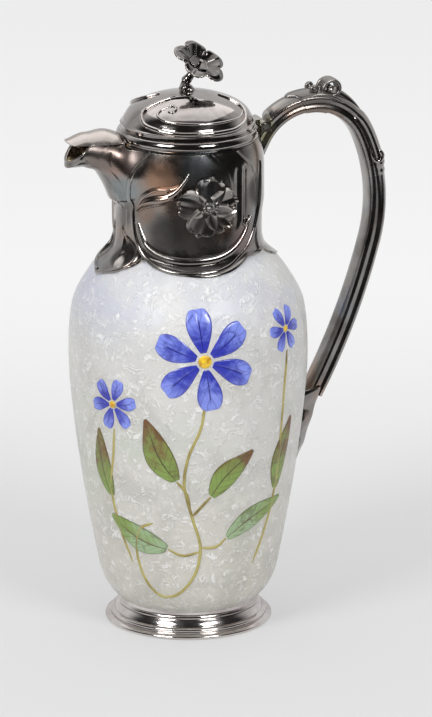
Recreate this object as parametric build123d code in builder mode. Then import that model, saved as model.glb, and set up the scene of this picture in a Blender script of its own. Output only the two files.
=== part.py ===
"""Mounted glass claret jug: a blown glass body in a plated mount with a hinged, domed lid.

Frame: millimetres, +Z up, origin at the centre of the foot's resting plane.
The spout points along -X and the handle stands along +X. The left side is -Y.
"""

import os
from math import asin, cos, degrees, hypot, radians, sin

from build123d import *

os.makedirs("parts", exist_ok=True)

# Glass body
glass_wall = 3.0
glass_floor = 6.0
glass_punt = 1.5
punt_edge = 3.0
seat_radius = 22.8
seat_height = 6.5
heel_radius = 34.4
heel_height = 12.8
heel_rise = 23.0
heel_swell = 9.3
inner_heel_rise = 9.0
flank_drop = 24.0
flank_inset = 1.6
belly_radius = 56.0
belly_height = 130.0
shoulder_radius = 49.4
shoulder_drop = 25.0
shoulder_swell = 5.0
shoulder_length = 11.5
neck_radius = 31.8
neck_swell = 8.2
neck_swell_drop = 12.0
neck_root_height = 190.0
neck_length = 24.0

# Foot
foot_radius = 39.4
foot_wall = 1.3
foot_wire_radius = 0.9
foot_band_height = 1.9
foot_ledge_height = 2.6
foot_step_radius = 35.1
foot_step_height = 4.6
foot_bead = 1.9
cove_rise = 1.9
cove_bulge = 0.9
gallery_height = 12.0
gallery_inset = 2.4
gallery_lip = 0.8
gallery_lip_height = 1.6
bed_inset = 1.5

# Collar
collar_radius = 35.4
collar_wall = 1.3
collar_length = 60.4
collar_bend = 11.0
collar_mouth_radius = 30.0
rim_height = 2.0
rim_depth = 3.0
rim_radius = 33.4
skirt_drop = 17.4
skirt_wall = 1.1
flare_length = 21.4
flare_power = 1.8
solder_gap = 0.3
leaf_rise = 9.4
leaf_tip_blunt = 3.0
front_leaf_width = 42.0
rear_leaf_width = 60.0
rear_tip_rise = 1.4
panel_rise = 4.4
panel_half_width = 24.0
panel_centre_angle = 261.5
teardrop_depth = 0.7
teardrop_width = 6.0
teardrop_length = 11.0
teardrop_drop = 1.5

# Spout
spout_wall = 1.2
spout_root_reach = 28.0
spout_root_half_width = 17.0
spout_root_half_height = 13.0
spout_throat_reach = 40.0
spout_throat_half_width = 13.0
spout_throat_half_height = 9.5
spout_neck_reach = 49.5
spout_neck_half_width = 10.2
spout_neck_half_height = 8.0
spout_reach = 60.0
spout_tip_half_width = 8.5
spout_tip_half_height = 6.4
spout_nose_reach = 45.0
spout_nose_half_width = 12.0
spout_root_drop = 17.0
spout_throat_drop = 4.0
spout_neck_drop = 1.4
spout_tip_drop = 2.4
hood_seam_rise = 2.6
mouth_cut_length = 9.5
mouth_cut_drop = 8.2
mouth_cut_margin = 4.0

# Raised ornament on the collar
stem_radius = 1.5
roll_radius = 2.3
stem_sink = 0.5
roll_sink = 1.1
petal_count = 5
petal_radius = 5.6
petal_spread = 8.6
petal_height = 1.7
petal_dish_radius = 9.0
petal_dish_depth = 1.1
flower_angle = 265.0
flower_drop = 24.4
flower_boss_radius = 3.3
bud_angle = 229.5
bud_drop = 18.0
bud_length = 27.0
bud_width = 8.5
bud_tip_rise = 9.0
bud_relief = 1.6

# Lid
lid_rim_radius = 33.3
lid_rim_height = 3.4
lid_rim_edge = 1.2
lid_rim_roll = 1.6
lid_moulding_radius = 31.4
lid_moulding_height = 6.5
lid_moulding_bead = 1.0
lid_moulding_foot = 1.4
lid_dome_height = 20.4
lid_shoulder_radius = 28.6
lid_shoulder_height = 10.6
lid_crown_radius = 24.0
lid_crown_height = 14.75
lid_wall = 1.2
lid_clearance = 0.5
bezel_clearance = 0.5
bezel_depth = 4.0
bezel_wall = 1.2
bezel_bevel = 0.5
lid_stem_radius = 1.1
lid_stem_lift = 0.5

# Hinge
knuckle_radius = 2.2
pin_radius = 0.8
pin_clearance = 0.05
pin_head_radius = 1.3
pin_head_height = 0.6
hinge_gap = 0.35
hinge_rise = 2.0
barrel_length = 14.4
middle_knuckle_length = 5.0
knuckle_side_gap = 0.2
lid_lug_length = 3.0
lid_lug_drop = 0.8
pocket_depth = 0.8
pocket_margin = 1.0
pocket_height = 12.0

# Handle
handle_width = 12.4
handle_depth = 9.6
handle_wall = 1.5
handle_groove = 0.7
handle_root_inset = 0.6
handle_root_drop = 3.4
handle_root_slope = 63.6
arch_radius = 28.7
arch_angle = 128.9
back_radius = 78.7
back_angle = 39.5
handle_end_gap = 8.27
handle_end_drop = 26.4
sheath_wall = 0.7
sheath_start = 0.34
sheath_end = 0.58
knot_start = 0.25
knot_end = 0.41
knot_wall = 0.9
bud_knob_radius = 5.2
bud_knob_seat = 1.6
bud_share = 0.625

# Lower terminal
terminal_top_drop = 22.5
terminal_length = 41.5
terminal_width = 23.0
terminal_widest_rise = 6.0
terminal_overlap = 4.0
terminal_swell = 10.2
terminal_draft = 9.0
terminal_tip_wall = 4.8
terminal_cement = 1.2
terminal_bed_edge = 3.0

# Finial
finial_stem_radius = 2.6
finial_foot_radius = 4.0
finial_lean = 4.0
finial_stem_height = 10.5
calyx_radius = 4.6
calyx_height = 4.6
calyx_drop = 1.4
calyx_floor = 0.8
finial_petal_length = 13.6
finial_petal_width = 11.0
finial_petal_wall = 1.2
flower_seat_radius = 1.6
finial_tilt = 30.0
finial_turn = -33.0
flower_rise = 5.4
screw_radius = 1.5
screw_grip = 3.0
screw_end = 0.9
nut_flats = 5.5
nut_height = 2.4
washer_radius = 4.2
washer_height = 0.8

# Heights and places that follow from the values above
shoulder_height = neck_root_height - shoulder_drop
neck_top = neck_root_height + neck_length
skirt_edge_height = neck_root_height - skirt_drop
flare_start = skirt_edge_height + flare_length
leaf_notch_height = skirt_edge_height + leaf_rise
rear_leaf_tip_height = skirt_edge_height + rear_tip_rise
panel_bottom_height = skirt_edge_height + panel_rise
collar_top = skirt_edge_height + collar_length
collar_bend_height = collar_top - collar_bend
rim_top = collar_top + rim_height
hood_seam_height = collar_top + hood_seam_rise
flower_height = collar_top - flower_drop
bud_height = collar_top - bud_drop
hinge_x = lid_rim_radius + knuckle_radius + hinge_gap
hinge_z = rim_top + hinge_rise
terminal_top = belly_height - terminal_top_drop
terminal_tip = terminal_top - terminal_length


def glass_radius(height):
    """Outer radius of the glass between the heel and the neck top."""
    stations = [
        (heel_height, heel_radius, 0.95),
        (heel_height + heel_rise, heel_radius + heel_swell, 0.20),
        (belly_height - flank_drop, belly_radius - flank_inset, 0.10),
        (belly_height, belly_radius, 0.0),
        (shoulder_height - shoulder_length, shoulder_radius + shoulder_swell, -0.18),
        (shoulder_height, shoulder_radius, -0.62),
        (neck_root_height - neck_swell_drop, neck_radius + neck_swell, -1.05),
        (neck_root_height, neck_radius, 0.0),
    ]
    if height >= neck_root_height:
        return neck_radius
    for (z0, r0, s0), (z1, r1, s1) in zip(stations, stations[1:]):
        if height <= z1:
            span = z1 - z0
            t = (height - z0) / span
            return (
                r0 * (1 + 2 * t) * (1 - t) ** 2
                + s0 * span * t * (1 - t) ** 2
                + r1 * t * t * (3 - 2 * t)
                + s1 * span * t * t * (t - 1)
            )


def glass_points(grow, bottom, top, count):
    """Points on the glass outline, moved along its normal by grow, from bottom to top."""
    step = 0.5
    points = []
    for index in range(count + 1):
        height = bottom + (top - bottom) * index / count
        slope = (glass_radius(height + step) - glass_radius(max(height - step, heel_height))) / (2 * step)
        length = hypot(1.0, slope)
        points.append((glass_radius(height) + grow / length, height - grow * slope / length))
    return points


def glass_envelope(grow, bottom, top):
    """Solid of revolution that follows the outside of the glass at a distance."""
    with BuildPart() as envelope:
        with BuildSketch(Plane.XZ):
            with BuildLine():
                side = Spline(*glass_points(grow, bottom, top, 18))
                Polyline(side @ 1, (0, (side @ 1).Y), (0, (side @ 0).Y), side @ 0)
            make_face()
        revolve(axis=Axis.Z)
    return envelope.part


skirt_edge_radius = glass_radius(skirt_edge_height) + solder_gap + skirt_wall
skirt_flare = skirt_edge_radius - collar_radius


def collar_outer(height):
    """Outer radius of the collar: straight tube, flared skirt and drawn-in shoulder."""
    if height < flare_start:
        share = (flare_start - height) / (flare_start - skirt_edge_height)
        return collar_radius + skirt_flare * share ** flare_power
    if height > collar_bend_height:
        share = (height - collar_bend_height) / (collar_top - collar_bend_height)
        return collar_radius - (collar_radius - rim_radius) * share ** 2
    return collar_radius


def collar_form(grow):
    """Filled outer form of the collar, grown outwards by grow."""
    steps = 12
    flare_heights = [
        skirt_edge_height + (flare_start - skirt_edge_height) * index / steps for index in range(steps + 1)
    ]
    with BuildPart() as form:
        with BuildSketch(Plane.XZ):
            with BuildLine():
                flare = Spline(
                    *[(collar_outer(height) + grow, height) for height in flare_heights],
                    tangents=[(-skirt_flare * flare_power, flare_start - skirt_edge_height), (0, 1)],
                )
                tube = Line(flare @ 1, (collar_radius + grow, collar_bend_height))
                bend = Spline(
                    tube @ 1,
                    (rim_radius + grow, collar_top),
                    tangents=[(0, 1), (2 * (rim_radius - collar_radius), collar_top - collar_bend_height)],
                )
                Polyline(bend @ 1, (0, collar_top), (0, skirt_edge_height), flare @ 0)
            make_face()
        revolve(axis=Axis.Z)
    return form.part


def on_collar(angle, height, lift=0.0):
    """Point on the collar's surface at an angle about the axis and a height."""
    radius = collar_outer(height) + lift
    return Vector(radius * cos(radians(angle)), radius * sin(radians(angle)), height)


def collar_plane(angle, height, lift=0.0):
    """Plane on the collar that looks straight outwards, with its y axis upwards."""
    outward = Vector(cos(radians(angle)), sin(radians(angle)), 0)
    sideways = Vector(-sin(radians(angle)), cos(radians(angle)), 0)
    return Plane(origin=on_collar(angle, height, lift), x_dir=sideways, z_dir=outward)


collar_solid = collar_form(0.0)
glass_clearance = glass_envelope(solder_gap, (belly_height + shoulder_height) / 2, neck_top)

# Blown glass body with a sunk base and an open neck
with BuildPart() as glass_body:
    with BuildSketch(Plane.XZ):
        with BuildLine():
            outside = Spline(*glass_points(0.0, heel_height, neck_root_height, 26))
            neck_outside = Line(outside @ 1, (neck_radius, neck_top))
            lip = ThreePointArc(
                neck_outside @ 1,
                (neck_radius - glass_wall / 2, neck_top + glass_wall / 2),
                (neck_radius - glass_wall, neck_top),
            )
            inside = Spline(*glass_points(-glass_wall, heel_height + inner_heel_rise, neck_root_height, 24))
            neck_inside = Line(lip @ 1, inside @ 1)
            floor_edge = (heel_radius - inner_heel_rise, seat_height + glass_floor)
            inner_heel = Spline(inside @ 0, floor_edge, tangents=[-(inside % 0), (-1, 0)])
            floor = Line(inner_heel @ 1, (0, seat_height + glass_floor))
            axis_line = Line(floor @ 1, (0, seat_height + glass_punt))
            punt = Spline(
                axis_line @ 1, (seat_radius - punt_edge, seat_height), tangents=[(1, 0), (1, -0.35)]
            )
            seat = Line(punt @ 1, (seat_radius, seat_height))
            Spline(seat @ 1, outside @ 0, tangents=[(1, 0.35), outside % 0])
        make_face()
    revolve(axis=Axis.Z)

# Spun foot: rim band, step, cove and gallery that grips the heel of the glass
gallery_radius = glass_radius(heel_height) - gallery_inset
band_radius = foot_radius - foot_wire_radius
with BuildPart() as foot_shell:
    with BuildSketch(Plane.XZ):
        with BuildLine():
            band = Line((band_radius, 0), (band_radius, foot_band_height))
            ledge = Line(band @ 1, (foot_step_radius + foot_wall, foot_ledge_height))
            bead = ThreePointArc(
                ledge @ 1,
                (foot_step_radius + foot_bead, (foot_ledge_height + foot_step_height) / 2),
                (foot_step_radius, foot_step_height),
            )
            cove = ThreePointArc(
                bead @ 1,
                (gallery_radius + cove_bulge, foot_step_height + cove_rise),
                (gallery_radius, gallery_height - 1.6 * gallery_lip_height),
            )
            lip_side = Line(cove @ 1, (gallery_radius + gallery_lip, gallery_height - gallery_lip_height))
            lip_top = Line(lip_side @ 1, (gallery_radius + gallery_lip, gallery_height))
            Polyline(
                lip_top @ 1,
                (gallery_radius - foot_wall, gallery_height),
                (gallery_radius - foot_wall, foot_step_height),
                (foot_step_radius - 2 * foot_wall, foot_ledge_height - foot_wall),
                (band_radius - 2 * foot_wall, foot_band_height - foot_wall),
                (band_radius - 2 * foot_wall, 0),
                band @ 0,
            )
        make_face()
    revolve(axis=Axis.Z)
    add(glass_envelope(0.0, heel_height, heel_height + heel_rise), mode=Mode.SUBTRACT)
    add(glass_body.part, mode=Mode.SUBTRACT)

# Thin wire that closes the foot's edge
with BuildPart() as foot_wire:
    with BuildSketch(Plane.XZ):
        with Locations((band_radius, foot_band_height / 2)):
            Circle(foot_wire_radius)
    revolve(axis=Axis.Z)
    with BuildSketch(Plane.XY):
        Circle(band_radius)
    extrude(amount=2 * foot_band_height, mode=Mode.SUBTRACT)

# Plaster bed between the foot's cove and the heel of the glass
bed_outer = gallery_radius - foot_wall
with BuildPart() as foot_plaster:
    with BuildSketch(Plane.XZ):
        with BuildLine():
            Polyline(
                (seat_radius + bed_inset, foot_step_height),
                (bed_outer, foot_step_height),
                (bed_outer, gallery_height),
                (seat_radius + bed_inset, gallery_height),
                close=True,
            )
        make_face()
    revolve(axis=Axis.Z)
    add(glass_body.part, mode=Mode.SUBTRACT)

# Spout form: sections on planes that turn from the throat to the tip
spout_stations = [
    (spout_root_reach, spout_root_drop, 50.0, spout_root_half_width, spout_root_half_height),
    (spout_throat_reach, spout_throat_drop, 35.0, spout_throat_half_width, spout_throat_half_height),
    (spout_neck_reach, spout_neck_drop, 15.0, spout_neck_half_width, spout_neck_half_height),
    (spout_reach, spout_tip_drop, 0.0, spout_tip_half_width, spout_tip_half_height),
]


def spout_form(shrink, run_on):
    """Loft through the spout's oval sections, made smaller by shrink and longer by run_on."""
    with BuildPart() as form:
        last = len(spout_stations) - 1
        for index, (reach, drop, slope, half_width, half_height) in enumerate(spout_stations):
            forward = Vector(-cos(radians(slope)), 0, sin(radians(slope)))
            shift = run_on if index == last else (-run_on if index == 0 else 0.0)
            origin = Vector(-reach, 0, collar_top - drop) + forward * shift
            with BuildSketch(Plane(origin=origin, x_dir=(0, 1, 0), z_dir=forward)):
                Ellipse(half_width - shrink, half_height - shrink)
        loft()
    return form.part


# Rounded plan of the spout, seen from above
with BuildPart() as spout_plan:
    with BuildSketch(Plane.XY.offset(collar_top - 2 * spout_root_drop)):
        with Locations((-spout_nose_reach, 0)):
            Ellipse(spout_reach - spout_nose_reach, spout_nose_half_width)
        with Locations((-spout_nose_reach / 2, 0)):
            Rectangle(spout_nose_reach, 4 * spout_nose_half_width)
    extrude(amount=4 * spout_root_drop)

spout_outer = spout_form(0.0, 0.0)
spout_inner = spout_form(spout_wall, 1.0)
mouth_line = [
    (-spout_reach - mouth_cut_margin, hood_seam_height + lid_dome_height),
    (-spout_reach - mouth_cut_margin, hood_seam_height - mouth_cut_drop),
    (-spout_reach, hood_seam_height - mouth_cut_drop),
    (-spout_reach + mouth_cut_length, hood_seam_height),
    (0, hood_seam_height),
    (0, hood_seam_height + lid_dome_height),
]

# Lower channel of the spout, with its rim cut back towards the tip
with BuildPart() as spout_trough:
    add(spout_outer)
    add(spout_plan.part, mode=Mode.INTERSECT)
    add(spout_inner, mode=Mode.SUBTRACT)
    with BuildSketch(Plane.XZ):
        with BuildLine():
            Polyline(*mouth_line, close=True)
        make_face()
    extrude(amount=2 * spout_root_half_width, both=True, mode=Mode.SUBTRACT)
    add(collar_solid, mode=Mode.SUBTRACT)
    with BuildSketch(Plane.XY.offset(collar_top - lid_clearance)):
        Circle(lid_rim_radius + lid_clearance)
    extrude(amount=lid_dome_height, mode=Mode.SUBTRACT)

# Hood over the spout, soldered on along the seam
with BuildPart() as spout_hood:
    add(spout_outer)
    add(spout_plan.part, mode=Mode.INTERSECT)
    add(spout_inner, mode=Mode.SUBTRACT)
    with BuildSketch(Plane.XY.offset(hood_seam_height)):
        Rectangle(4 * spout_reach, spout_reach)
    extrude(amount=-spout_reach, mode=Mode.SUBTRACT)
    with BuildSketch(Plane.XY.offset(rim_top - lid_clearance)):
        Circle(lid_rim_radius + lid_clearance)
    extrude(amount=lid_dome_height, mode=Mode.SUBTRACT)
    add(collar_solid, mode=Mode.SUBTRACT)

# Lower border of the collar: a leaf under the spout, one under the handle and two round panels
clear_reach = 1.2 * skirt_edge_radius
with BuildPart() as collar_border:
    with BuildSketch(Plane.XY.offset(leaf_notch_height)):
        Circle(clear_reach)
    extrude(amount=collar_top - leaf_notch_height)
    for width, tip_height, direction in (
        (front_leaf_width, skirt_edge_height, -1),
        (rear_leaf_width, rear_leaf_tip_height, 1),
    ):
        with BuildSketch(Plane.YZ):
            with BuildLine():
                near_edge = ThreePointArc(
                    (-width / 2, leaf_notch_height),
                    (-width / 5, tip_height + leaf_tip_blunt),
                    (0, tip_height),
                )
                far_edge = ThreePointArc(
                    near_edge @ 1, (width / 5, tip_height + leaf_tip_blunt), (width / 2, leaf_notch_height)
                )
                Line(far_edge @ 1, near_edge @ 0)
            make_face()
        extrude(amount=direction * clear_reach)
    panel_middle = collar_radius * cos(radians(panel_centre_angle))
    with BuildSketch(Plane.XZ):
        with BuildLine():
            panel_edge = ThreePointArc(
                (panel_middle - panel_half_width, leaf_notch_height),
                (panel_middle, panel_bottom_height),
                (panel_middle + panel_half_width, leaf_notch_height),
            )
            Line(panel_edge @ 1, panel_edge @ 0)
        make_face()
    extrude(amount=clear_reach, both=True)

# Collar: tube with a drawn-in shoulder, a flared skirt and the spout's throat
with BuildPart() as neck_collar:
    add(collar_solid)
    add(collar_border.part, mode=Mode.INTERSECT)
    with BuildSketch(Plane.XZ):
        with BuildLine():
            Polyline(
                (0, shoulder_height),
                (neck_radius, shoulder_height),
                (neck_radius, neck_root_height - collar_wall),
                (collar_radius - collar_wall, neck_root_height + collar_wall),
                (collar_radius - collar_wall, collar_bend_height),
                (rim_radius - 2 * collar_wall, collar_top),
                (0, collar_top),
                close=True,
            )
        make_face()
    revolve(axis=Axis.Z, mode=Mode.SUBTRACT)
    add(glass_clearance, mode=Mode.SUBTRACT)
    add(spout_inner, mode=Mode.SUBTRACT)
    for side in (180.0, 0.0):
        with BuildSketch(collar_plane(side, leaf_notch_height - teardrop_drop, skirt_flare)):
            Ellipse(teardrop_width / 2, teardrop_length / 2)
        extrude(amount=-skirt_flare - teardrop_depth, mode=Mode.SUBTRACT)

# Rim ring that carries the lid
with BuildPart() as collar_rim:
    with BuildSketch(Plane.XZ):
        with BuildLine():
            Polyline(
                (collar_mouth_radius, collar_top - rim_depth),
                (rim_radius - 2 * collar_wall, collar_top - rim_depth / 2),
                (rim_radius - 2 * collar_wall, collar_top),
                (rim_radius, collar_top),
                (rim_radius, rim_top),
                (collar_mouth_radius, rim_top),
                close=True,
            )
        make_face()
    revolve(axis=Axis.Z)
    add(neck_collar.part, mode=Mode.SUBTRACT)
    add(spout_inner, mode=Mode.SUBTRACT)

# Plaster between the neck of the glass and the collar
with BuildPart() as collar_plaster:
    with BuildSketch(Plane.XY.offset(neck_root_height)):
        Circle(collar_radius - collar_wall)
        Circle(neck_radius, mode=Mode.SUBTRACT)
    extrude(amount=0.75 * neck_length)
    add(spout_inner, mode=Mode.SUBTRACT)
    add(neck_collar.part, mode=Mode.SUBTRACT)

# Raised stem around the round panel, from the rim by the spout down and up into the handle's root.
# Each point is an angle and a share of the collar's height.
stem_route = [
    (215.0, 0.967),
    (208.0, 0.851),
    (203.0, 0.685),
    (202.0, 0.487),
    (205.5, 0.313),
    (214.0, 0.197),
    (227.0, 0.129),
    (243.0, 0.096),
    (260.0, 0.093),
    (276.0, 0.113),
    (290.0, 0.166),
    (302.0, 0.247),
    (311.0, 0.371),
    (317.5, 0.528),
    (320.5, 0.702),
    (320.5, 0.868),
]
roll_route = [
    (209.5, 0.371),
    (217.0, 0.262),
    (229.0, 0.199),
    (244.0, 0.169),
    (260.0, 0.169),
    (275.0, 0.189),
    (288.0, 0.248),
    (298.0, 0.348),
]


def corner_radii(points, share):
    """Fillet radius at each inner corner of a route, from the shorter run beside it."""
    radii = []
    for before, corner, after in zip(points, points[1:], points[2:]):
        first = corner - before
        second = after - corner
        half_turn = radians(first.get_angle(second)) / 2
        radii.append(share * min(first.length, second.length) / sin(half_turn) * cos(half_turn))
    return radii


def raised_tube(route, radius, sink):
    """Round stem that follows a route of angles and heights over the collar."""
    lift = radius - sink
    points = [on_collar(angle, skirt_edge_height + collar_length * share, lift) for angle, share in route]
    with BuildPart() as tube:
        with BuildLine():
            path = FilletPolyline(*points, radius=corner_radii(points, 0.45))
        with BuildSketch(Plane(origin=path @ 0, z_dir=path % 0)):
            Circle(radius)
        sweep()
    return tube.part


with BuildPart() as stem_left:
    add(raised_tube(stem_route, stem_radius, stem_sink))
    add(raised_tube(roll_route, roll_radius, roll_sink))
    add(collar_solid, mode=Mode.SUBTRACT)
    add(glass_clearance, mode=Mode.SUBTRACT)
    add(spout_outer, mode=Mode.SUBTRACT)

# Five-petalled flower, each dished petal square to the collar where it lies
with BuildPart() as flower_left:
    for index in range(petal_count):
        turn = radians(90.0 + 360.0 * index / petal_count)
        angle = flower_angle + degrees(petal_spread * cos(turn) / collar_radius)
        height = flower_height + petal_spread * sin(turn)
        with BuildSketch(collar_plane(angle, height, -collar_wall)):
            Circle(petal_radius)
        extrude(amount=petal_height + collar_wall)
    with BuildSketch(collar_plane(flower_angle, flower_height, -collar_wall)):
        Circle(flower_boss_radius)
    extrude(amount=petal_height + 1.8 * collar_wall)
    for index in range(petal_count):
        turn = radians(90.0 + 360.0 * index / petal_count)
        angle = flower_angle + degrees(petal_spread * cos(turn) / collar_radius)
        height = flower_height + petal_spread * sin(turn)
        with Locations(collar_plane(angle, height, petal_height + petal_dish_radius - petal_dish_depth)):
            Sphere(petal_dish_radius, mode=Mode.SUBTRACT)
    with Locations(collar_plane(flower_angle, flower_height, petal_height)):
        Sphere(flower_boss_radius * 0.75)
    add(collar_solid, mode=Mode.SUBTRACT)

# Long bud beside the flower, its tip turned up towards the rim
bud_start = collar_plane(bud_angle, bud_height, -3 * collar_wall)
with BuildPart() as bud_left:
    with BuildSketch(bud_start):
        with BuildLine():
            lower = ThreePointArc(
                (-bud_length / 2, -bud_tip_rise / 3),
                (0, -bud_width / 2),
                (0.43 * bud_length, bud_tip_rise / 3),
            )
            tip = ThreePointArc(
                lower @ 1, (0.485 * bud_length, 0.62 * bud_tip_rise), (0.45 * bud_length, bud_tip_rise)
            )
            back = ThreePointArc(
                tip @ 1, (0.38 * bud_length, 0.6 * bud_tip_rise), (0.3 * bud_length, bud_width / 2)
            )
            ThreePointArc(back @ 1, (-0.07 * bud_length, 0.38 * bud_width), lower @ 0)
        make_face()
    extrude(amount=collar_radius / 2)
    add(collar_form(bud_relief), mode=Mode.INTERSECT)
    add(collar_solid, mode=Mode.SUBTRACT)
    add(stem_left.part, mode=Mode.SUBTRACT)

# Lid: rim, upper moulding, rounded shoulder and low dome, spun as one shell
lid_moulding_top = rim_top + lid_moulding_height
dome_top = rim_top + lid_dome_height
lid_low_bend = rim_top + lid_shoulder_height
lid_high_bend = rim_top + lid_crown_height
lid_crown_sag = dome_top - 0.24 * (lid_dome_height - lid_crown_height)
with BuildPart() as lid_dome:
    with BuildSketch(Plane.XZ):
        with BuildLine():
            start = Line(
                (lid_moulding_radius - lid_moulding_foot, rim_top + lid_rim_height),
                (lid_moulding_radius, rim_top + lid_rim_height),
            )
            cove = Line(start @ 1, (lid_moulding_radius, lid_moulding_top - lid_moulding_bead))
            bead = ThreePointArc(
                cove @ 1,
                (lid_moulding_radius - 0.3 * lid_moulding_bead, lid_moulding_top - 0.3 * lid_moulding_bead),
                (lid_moulding_radius - lid_moulding_bead, lid_moulding_top),
            )
            shoulder = Spline(
                bead @ 1,
                (lid_shoulder_radius, lid_low_bend),
                (lid_crown_radius, lid_high_bend),
                (lid_crown_radius / 2, lid_crown_sag),
                (0, dome_top),
                tangents=[(-0.3, 1), (-1, 0)],
            )
            crown = Line(shoulder @ 1, (0, dome_top - lid_wall))
            inner = Spline(
                crown @ 1,
                (lid_crown_radius / 2, lid_crown_sag - lid_wall),
                (lid_crown_radius - lid_wall / 2, lid_high_bend - lid_wall),
                (lid_shoulder_radius - lid_wall, lid_low_bend - lid_wall / 2),
                (lid_moulding_radius - lid_moulding_foot - lid_wall, lid_moulding_top - lid_wall),
                tangents=[(1, 0), (0.3, -1)],
            )
            Polyline(
                inner @ 1,
                (lid_moulding_radius - lid_moulding_foot - lid_wall, rim_top + lid_rim_height),
                start @ 0,
            )
        make_face()
    revolve(axis=Axis.Z)
    with BuildSketch(Plane.XY.offset(dome_top - 3 * lid_wall)):
        Circle(screw_radius)
    extrude(amount=6 * lid_wall, mode=Mode.SUBTRACT)

# Cast rim that stands on the collar's rim
rim_inner_radius = collar_mouth_radius - bezel_clearance - 2 * bezel_wall
with BuildPart() as lid_rim:
    with BuildSketch(Plane.XZ):
        with BuildLine():
            foot = Line((rim_inner_radius, rim_top), (lid_rim_radius, rim_top))
            edge = Line(foot @ 1, (lid_rim_radius, rim_top + lid_rim_edge))
            roll = ThreePointArc(
                edge @ 1,
                (lid_rim_radius - 0.3 * lid_rim_roll, rim_top + (lid_rim_edge + lid_rim_height) / 2),
                (lid_rim_radius - lid_rim_roll, rim_top + lid_rim_height),
            )
            Polyline(roll @ 1, (rim_inner_radius, rim_top + lid_rim_height), foot @ 0)
        make_face()
    revolve(axis=Axis.Z)

# Bezel that drops into the collar's mouth
bezel_radius = collar_mouth_radius - bezel_clearance
with BuildPart() as lid_bezel:
    with BuildSketch(Plane.XY.offset(rim_top - bezel_depth)):
        Circle(bezel_radius)
        Circle(bezel_radius - bezel_wall, mode=Mode.SUBTRACT)
    extrude(amount=bezel_depth)
    outer_edge = lid_bezel.edges().filter_by(GeomType.CIRCLE).group_by(Axis.Z)[0].sort_by(SortBy.RADIUS)[-1]
    chamfer(outer_edge, length=bezel_bevel)

# Whiplash stem laid over the lid's shoulder, each point an angle and a share of the shoulder line
lid_route = [
    (200.0, 0.6),
    (194.0, 0.45),
    (195.0, 0.3),
    (204.0, 0.16),
    (220.0, 0.07),
    (242.0, 0.045),
    (262.0, 0.045),
    (282.0, 0.045),
    (302.0, 0.07),
    (316.0, 0.14),
    (326.0, 0.25),
]
with BuildPart() as lid_stem:
    lid_points = []
    for angle, share in lid_route:
        seat = shoulder @ share
        reach = seat.X + lid_stem_lift
        turn = radians(angle)
        lid_points.append(Vector(reach * cos(turn), reach * sin(turn), seat.Y + lid_stem_lift))
    with BuildLine():
        lid_path = FilletPolyline(*lid_points, radius=corner_radii(lid_points, 0.45))
    with BuildSketch(Plane(origin=lid_path @ 0, z_dir=lid_path % 0)):
        Circle(lid_stem_radius)
    sweep()
    add(lid_dome.part, mode=Mode.SUBTRACT)

# Hinge: two knuckles on the collar's lug, one on the lid, and a headed pin
outer_knuckle_length = (barrel_length - middle_knuckle_length) / 2 - knuckle_side_gap
pocket_floor = rim_top - pocket_depth
pocket_back = hinge_x + knuckle_radius + pocket_margin
hinge_plane = Plane(origin=(hinge_x, 0, hinge_z), x_dir=(1, 0, 0), z_dir=(0, -1, 0))

with BuildPart() as hinge_knuckles:
    for side in (-1, 1):
        first = middle_knuckle_length / 2 + knuckle_side_gap
        with BuildSketch(hinge_plane.offset(side * first)):
            Circle(knuckle_radius)
            with BuildLine():
                Polyline(
                    (-knuckle_radius, 0),
                    (-knuckle_radius + hinge_gap, pocket_floor - hinge_z),
                    (pocket_back - hinge_x, pocket_floor - hinge_z),
                    (knuckle_radius, 0),
                    close=True,
                )
            make_face()
            Circle(pin_radius, mode=Mode.SUBTRACT)
        extrude(amount=side * outer_knuckle_length)

with BuildPart() as lid_knuckle:
    with BuildSketch(hinge_plane):
        Circle(knuckle_radius)
        with BuildLine():
            Polyline(
                (0, knuckle_radius),
                (-hinge_gap - knuckle_radius - lid_lug_length, 0.86 * knuckle_radius),
                (-hinge_gap - knuckle_radius - lid_lug_length, -lid_lug_drop),
                (-knuckle_radius, -lid_lug_drop),
                (0, 0),
                close=True,
            )
        make_face()
        Circle(pin_radius + pin_clearance, mode=Mode.SUBTRACT)
    extrude(amount=middle_knuckle_length / 2, both=True)
    add(lid_rim.part, mode=Mode.SUBTRACT)
    add(lid_dome.part, mode=Mode.SUBTRACT)

with BuildPart() as hinge_pin:
    with BuildSketch(hinge_plane):
        Circle(pin_radius)
    extrude(amount=barrel_length / 2, both=True)
    for side in (-1, 1):
        with BuildSketch(hinge_plane.offset(side * barrel_length / 2)):
            Circle(pin_head_radius)
        extrude(amount=side * pin_head_height)

# Handle centre line: tight over the top, rounder behind, then one arc that ends a set way off the glass
handle_end_height = belly_height - handle_end_drop
handle_end = Vector(glass_radius(handle_end_height) + handle_end_gap, 0, handle_end_height)
with BuildLine(Plane.XZ) as handle_path:
    arch = JernArc(
        start=(collar_radius - handle_root_inset, collar_top - handle_root_drop),
        tangent=(cos(radians(handle_root_slope)), sin(radians(handle_root_slope))),
        radius=arch_radius,
        arc_size=-arch_angle,
    )
    back = JernArc(start=arch @ 1, tangent=arch % 1, radius=back_radius, arc_size=-back_angle)
    drop_chord = handle_end - (back @ 1)
    drop_bend = ((back % 1).X * drop_chord.Z - (back % 1).Z * drop_chord.X) / drop_chord.length
    drop = JernArc(
        start=back @ 1,
        tangent=back % 1,
        radius=drop_chord.length / (2 * abs(drop_bend)),
        arc_size=2 * degrees(asin(drop_bend)),
    )

handle_plane = Plane(origin=arch @ 0, x_dir=(0, -1, 0), z_dir=arch % 0)


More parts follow.
